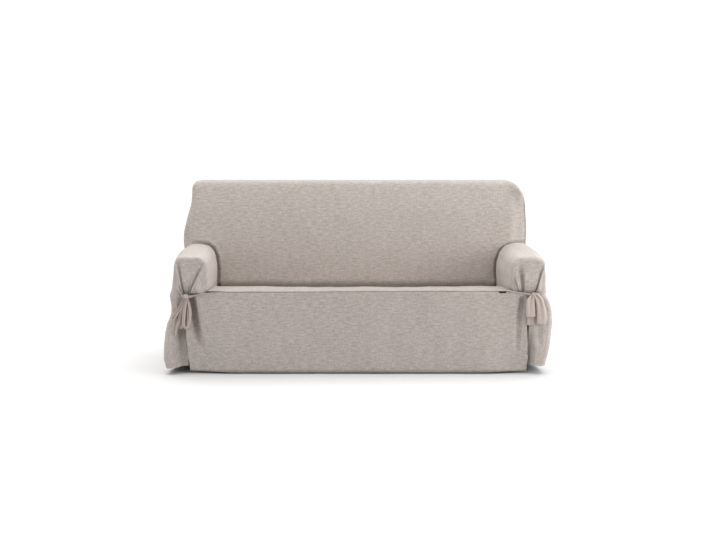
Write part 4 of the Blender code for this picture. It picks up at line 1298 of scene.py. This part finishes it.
@dataclass
class Tie:
    """The ribbons of one side: two bands that draw the arm front together, a knot, and what hangs from it."""

    m: Measures
    flank: Flank
    thickness: float = 0.0011
    knot_forward: float = 0.0165

    def knot_ring(self) -> Tape:
        """The ribbon that is wrapped round the knot: an ellipse upright from front to rear, closed behind."""
        w, z = self.flank.knot
        y = self.m.front_y - self.knot_forward
        angles = np.linspace(-0.62 * math.pi, 1.42 * math.pi, 15)
        path = tuple(
            (w + 0.002 * math.sin(2 * angle), y - 0.0095 * math.cos(angle), z + 0.0125 * math.sin(angle))
            for angle in angles)
        widths = tuple(0.019 + 0.005 * math.cos(angle) for angle in angles)
        return Tape(path, widths, ((1.0, 0.0, 0.05),), pleats=5, flat_width=0.034, rows=56, columns=30)

    def bands(self) -> dict[str, Tape]:
        """The bands: rolled ribbon, thin at the seams and thicker at the knot."""
        w, z = self.flank.knot
        y = self.m.front_y - 0.0045
        start, turn, sewn = self.flank.band
        upright = ((0.0, 0.0, 1.0),)
        inner = ((start[0], y + 0.001, start[1]), (turn[0] + 0.012, y - 0.001, turn[1] - 0.002),
                 ((turn[0] + w) / 2 + 0.008, y - 0.004, (turn[1] + z) / 2 - 0.001),
                 (w - 0.026, y - 0.008, z + 0.003), (w - 0.008, y - 0.012, z))
        outer = ((sewn[0], y, sewn[1]), (w + 0.034, y - 0.003, sewn[1] - 0.006),
                 (w + 0.020, y - 0.008, z + 0.004), (w + 0.007, y - 0.012, z))
        return {
            "band_inner": Tape(inner, (0.005, 0.006, 0.007, 0.010, 0.013), upright, 0.022, 4),
            "band_outer": Tape(outer, (0.009, 0.010, 0.012, 0.013), upright, 0.022, 3, rows=30),
        }

    def hanging(self) -> dict[str, list[Tape]]:
        """The loops and tails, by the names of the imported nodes."""
        w, z = self.flank.knot
        y = self.m.front_y - self.knot_forward
        under = z - 0.0125
        if self.flank is LEFT:
            return {
                "tail_outer": [Tape(
                    ((w + 0.004, y - 0.003, under + 0.004), (w + 0.017, y - 0.007, z - 0.034),
                     (w + 0.036, y - 0.008, z - 0.064), (w + 0.055, y - 0.006, z - 0.092),
                     (w + 0.072, y - 0.001, z - 0.117)),
                    (0.011, 0.015, 0.018, 0.021, 0.020), ((0.86, 0.16, 0.50),), 0.034, 2, phase=QUARTER)],
                "tail_back": [Tape(
                    ((w + 0.006, y + 0.003, under), (w + 0.020, y + 0.010, z - 0.050),
                     (w + 0.036, y + 0.016, z - 0.105), (w + 0.056, y + 0.018, z - 0.160),
                     (w + 0.066, y + 0.016, z - 0.205)),
                    (0.012, 0.030, 0.038, 0.039, 0.038), ((0.50, 0.86, 0.18), (0.56, 0.82, 0.12)),
                    curl=0.05)],
                "tail_middle": [Tape(
                    ((w + 0.001, y + 0.001, under + 0.003), (w + 0.008, y - 0.003, z - 0.045),
                     (w + 0.017, y - 0.004, z - 0.090), (w + 0.026, y - 0.003, z - 0.130),
                     (w + 0.033, y - 0.002, z - 0.166)),
                    (0.012, 0.015, 0.018, 0.020, 0.021), ((0.95, -0.30, 0.10),), 0.032, 2, phase=QUARTER)],
                "loop": [
                    Tape(((w - 0.001, y - 0.003, under + 0.005), (w + 0.008, y - 0.009, z - 0.060),
                          (w + 0.0125, y - 0.012, z - 0.110), (w + 0.0115, y - 0.014, z - 0.146),
                          (w + 0.002, y - 0.015, z - 0.166), (w - 0.011, y - 0.013, z - 0.153),
                          (w - 0.0185, y - 0.010, z - 0.115), (w - 0.020, y - 0.007, z - 0.078),
                          (w - 0.013, y - 0.003, z - 0.034), (w - 0.005, y, under + 0.003)),
                         (0.013, 0.017, 0.019, 0.019, 0.019, 0.020, 0.022, 0.022, 0.018, 0.013),
                         ((0.80, -0.60, 0.0), (0.80, -0.60, 0.0), (0.35, -0.94, 0.0), (0.70, 0.71, 0.0),
                          (0.78, 0.62, 0.0), (0.78, 0.62, 0.0)), 0.025, 2, rows=120),
                    Tape(((w - 0.006, y + 0.004, under), (w - 0.010, y + 0.008, z - 0.070),
                          (w - 0.012, y + 0.011, z - 0.150), (w - 0.013, y + 0.012, z - 0.218)),
                         (0.012, 0.022, 0.030, 0.032), ((1.0, 0.10, 0.0),), 0.034, 3),
                ],
            }
        return {
            "tail_inner": [Tape(
                ((w - 0.002, y - 0.003, z - 0.003), (w - 0.012, y - 0.008, z - 0.015),
                 (w - 0.0190, y - 0.012, z - 0.034), (w - 0.0185, y - 0.012, z - 0.070),
                 (w - 0.0170, y - 0.010, z - 0.109), (w - 0.0170, y - 0.004, z - 0.112)),
                (0.014, 0.030, 0.042, 0.046, 0.048, 0.048),
                ((0.94, 0.0, 0.34), (1.0, 0.0, 0.06), (1.0, 0.0, 0.0)), 0.048, 3, curl=0.07)],
            "tail_back": [Tape(
                ((w - 0.003, y + 0.003, under), (w - 0.012, y + 0.006, z - 0.060),
                 (w - 0.014, y + 0.009, z - 0.120), (w - 0.013, y + 0.010, z - 0.160)),
                (0.016, 0.032, 0.039, 0.040), ((1.0, 0.05, 0.0),), 0.042, 3, curl=0.05)],
            "loop": [
                Tape(((w + 0.003, y - 0.002, z + 0.003), (w + 0.014, y - 0.008, z - 0.005),
                      (w + 0.027, y - 0.012, z - 0.027), (w + 0.0360, y - 0.011, z - 0.068),
                      (w + 0.0405, y - 0.007, z - 0.112), (w + 0.0425, y - 0.002, z - 0.152)),
                     (0.015, 0.028, 0.039, 0.044, 0.048, 0.050),
                     ((0.80, 0.0, 0.60), (0.96, 0.0, 0.26), (1.0, 0.0, 0.10)), 0.050, 3, curl=0.08),
                Tape(((w + 0.010, y + 0.002, under + 0.006), (w + 0.036, y + 0.001, z - 0.040),
                      (w + 0.054, y + 0.004, z - 0.085), (w + 0.060, y + 0.006, z - 0.135)),
                     (0.012, 0.024, 0.030, 0.032), ((0.95, 0.28, 0.10),), 0.034, 3),
            ],
        }

    def build(self, room: Workroom) -> None:
        """Ties the ribbons."""
        pieces = {"knot": [self.knot_ring()]}
        pieces.update({name: [tape] for name, tape in self.bands().items()})
        pieces.update(self.hanging())
        for name, tapes in pieces.items():
            patches = [tape.patch(self.flank.sign) for tape in tapes]
            length = sum(tape.length() for tape in tapes)
            width = sum(tape.length() * tape.flat_width for tape in tapes) / length
            held = "folded" if name == "knot" else "hung"
            rests = () if name == "knot" else (f"tie_{self.flank.name}_knot",)
            # the back tails are darkened by painted shade, for the shade they hang in behind the other ribbons
            painted_shade = 0.8 if name == "tail_back" else 0.0
            cut = Cut((round(width, 4), round(length, 4)), held, rests_on=rests, painted_shade=painted_shade)
            room.sew(f"tie_{self.flank.name}_{name}_ribbon", patches, Finish.RIBBON, self.thickness,
                     self.flank.sign < 0, cut, f"tie_{self.flank.name}_{name}")


# ---------------------------------------------------------------------- the seam tab
@dataclass
class SeamTab:
    """The small dark tab in the seat seam: a tape folded in half, its fold below, both ends in the seam."""

    m: Measures
    middle: float = 0.755
    width: float = 0.037
    drop: float = 0.0090
    bulge: float = 0.0012
    thickness: float = 0.0004

    def build(self, room: Workroom) -> None:
        """Sews the tab in."""
        y = self.m.front_y - 0.0012
        top = self.m.seam_z + 0.0025
        low = top - self.drop
        path = ((self.middle, y - 0.0004, top), (self.middle, y - self.bulge, top - 0.35 * self.drop),
                (self.middle, y - self.bulge, low + 0.0015), (self.middle, y - 0.5 * self.bulge, low),
                (self.middle, y, low + 0.0020), (self.middle, y + 0.0003, top - 0.0010))
        tape = Tape(path, (self.width,), flat_width=self.width, pleats=1, curl=0.012, rows=40, columns=20)
        room.sew("seam_tab", [tape.patch(1)], Finish.LABEL, self.thickness, False,
                 Cut((self.width, round(tape.length(), 4)), "folded", rests_on=("seat",)), "label")


# ---------------------------------------------------------------------- the studio
@dataclass
class Studio:
    """Floor, light and camera."""

    camera_place: Point = (0.0, -6.414, 1.224)
    camera_drop: float = 6.4
    lens: float = 58.22
    floor_half: float = 40.0
    floor_white: float = 0.775
    floor_bounce: float = 0.46
    sky: float = 0.52
    lamp_power: float = 2.88
    lamp_spread: float = 88.0
    lamp_tilt: float = 21.0
    fills: tuple[tuple[Point, float], ...] = (
        ((3.1, -2.2, 1.3), 37.0), ((4.2, -0.4, 1.15), 40.0), ((-3.1, -2.3, 1.0), 16.0))
    fill_size: float = 1.6
    fill_aim: Point = (0.0, 0.0, 0.45)

    def floor(self) -> None:
        """A plain white floor."""
        half = self.floor_half
        mesh = bpy.data.meshes.new("studio_floor")
        corners = [(-half, -half, -0.001), (half, -half, -0.001), (half, half, -0.001), (-half, half, -0.001)]
        mesh.from_pydata(corners, [], [(0, 1, 2, 3)])
        material = bpy.data.materials.new("studio_white")
        graph = Graph(material)
        seen = Signal(graph, graph.node("ShaderNodeLightPath", {}, {}).outputs["Is Camera Ray"])
        tone = graph.mix(seen, (self.floor_bounce,) * 3, (self.floor_white,) * 3)
        values = {"Base Color": tone, "Roughness": 1.0, "Specular IOR Level": 0.0}
        shader = graph.node("ShaderNodeBsdfPrincipled", {}, values)
        graph.node("ShaderNodeOutputMaterial", {}, {"Surface": shader.outputs[0]})
        mesh.materials.append(material)
        ground = bpy.data.objects.new("studio_floor", mesh)
        bpy.context.scene.collection.objects.link(ground)

    def world(self) -> None:
        """An even sky, which the camera sees as white."""
        world = bpy.data.worlds.new("studio_sky")
        bpy.context.scene.world = world
        graph = Graph(world)
        seen = graph.node("ShaderNodeLightPath", {}, {}).outputs["Is Camera Ray"]
        grey = graph.node("ShaderNodeBackground", {}, {"Color": (1.0, 1.0, 1.0, 1.0), "Strength": self.sky})
        white = graph.node("ShaderNodeBackground", {}, {"Color": (1.0, 1.0, 1.0, 1.0), "Strength": 1.2})
        both = graph.node("ShaderNodeMixShader", {}, {0: seen, 1: grey.outputs[0], 2: white.outputs[0]})
        graph.node("ShaderNodeOutputWorld", {}, {"Surface": both.outputs[0]})

    def lamp(self) -> None:
        """A wide soft light from above, a little from behind."""
        light = bpy.data.lights.new("overhead", "SUN")
        light.energy = self.lamp_power
        light.angle = math.radians(self.lamp_spread)
        lamp = bpy.data.objects.new("overhead", light)
        lamp.rotation_euler = (math.radians(-self.lamp_tilt), 0.0, 0.0)
        bpy.context.scene.collection.objects.link(lamp)

    def fill(self, place: Point, power: float) -> None:
        """A square soft light of some power, at a place in front and to one side."""
        light = bpy.data.lights.new("fill", "AREA")
        light.energy = power
        light.size = self.fill_size
        lamp = bpy.data.objects.new("fill", light)
        lamp.location = place
        lamp.rotation_euler = (Vector(self.fill_aim) - Vector(place)).to_track_quat("-Z", "Y").to_euler()
        bpy.context.scene.collection.objects.link(lamp)

    def camera(self) -> None:
        """The camera, level from side to side and turned a little down."""
        data = bpy.data.cameras.new("camera")
        data.sensor_width = 36.0
        data.lens = self.lens
        camera = bpy.data.objects.new("camera", data)
        turn = Matrix.Rotation(math.radians(90.0 - self.camera_drop), 4, "X")
        camera.matrix_world = Matrix.Translation(self.camera_place) @ turn
        bpy.context.scene.collection.objects.link(camera)
        bpy.context.scene.camera = camera

    def build(self) -> None:
        """Sets the studio up."""
        self.camera()
        self.floor()
        self.world()
        self.lamp()
        for place, power in self.fills:
            self.fill(place, power)
        bpy.context.scene.view_settings.view_transform = "Standard"


def main() -> None:
    logging.basicConfig(level=logging.INFO, format="%(name)s: %(message)s")
    measures = Measures()
    Studio().build()
    room = Workroom()
    BackCover(measures).build(room)
    SeatAndSkirt(measures).build(room)
    for flank in FLANKS:
        ArmCover(measures, flank).build(room)
        Tie(measures, flank).build(room)
    SeamTab(measures).build(room)


if __name__ == "__main__":
    main()
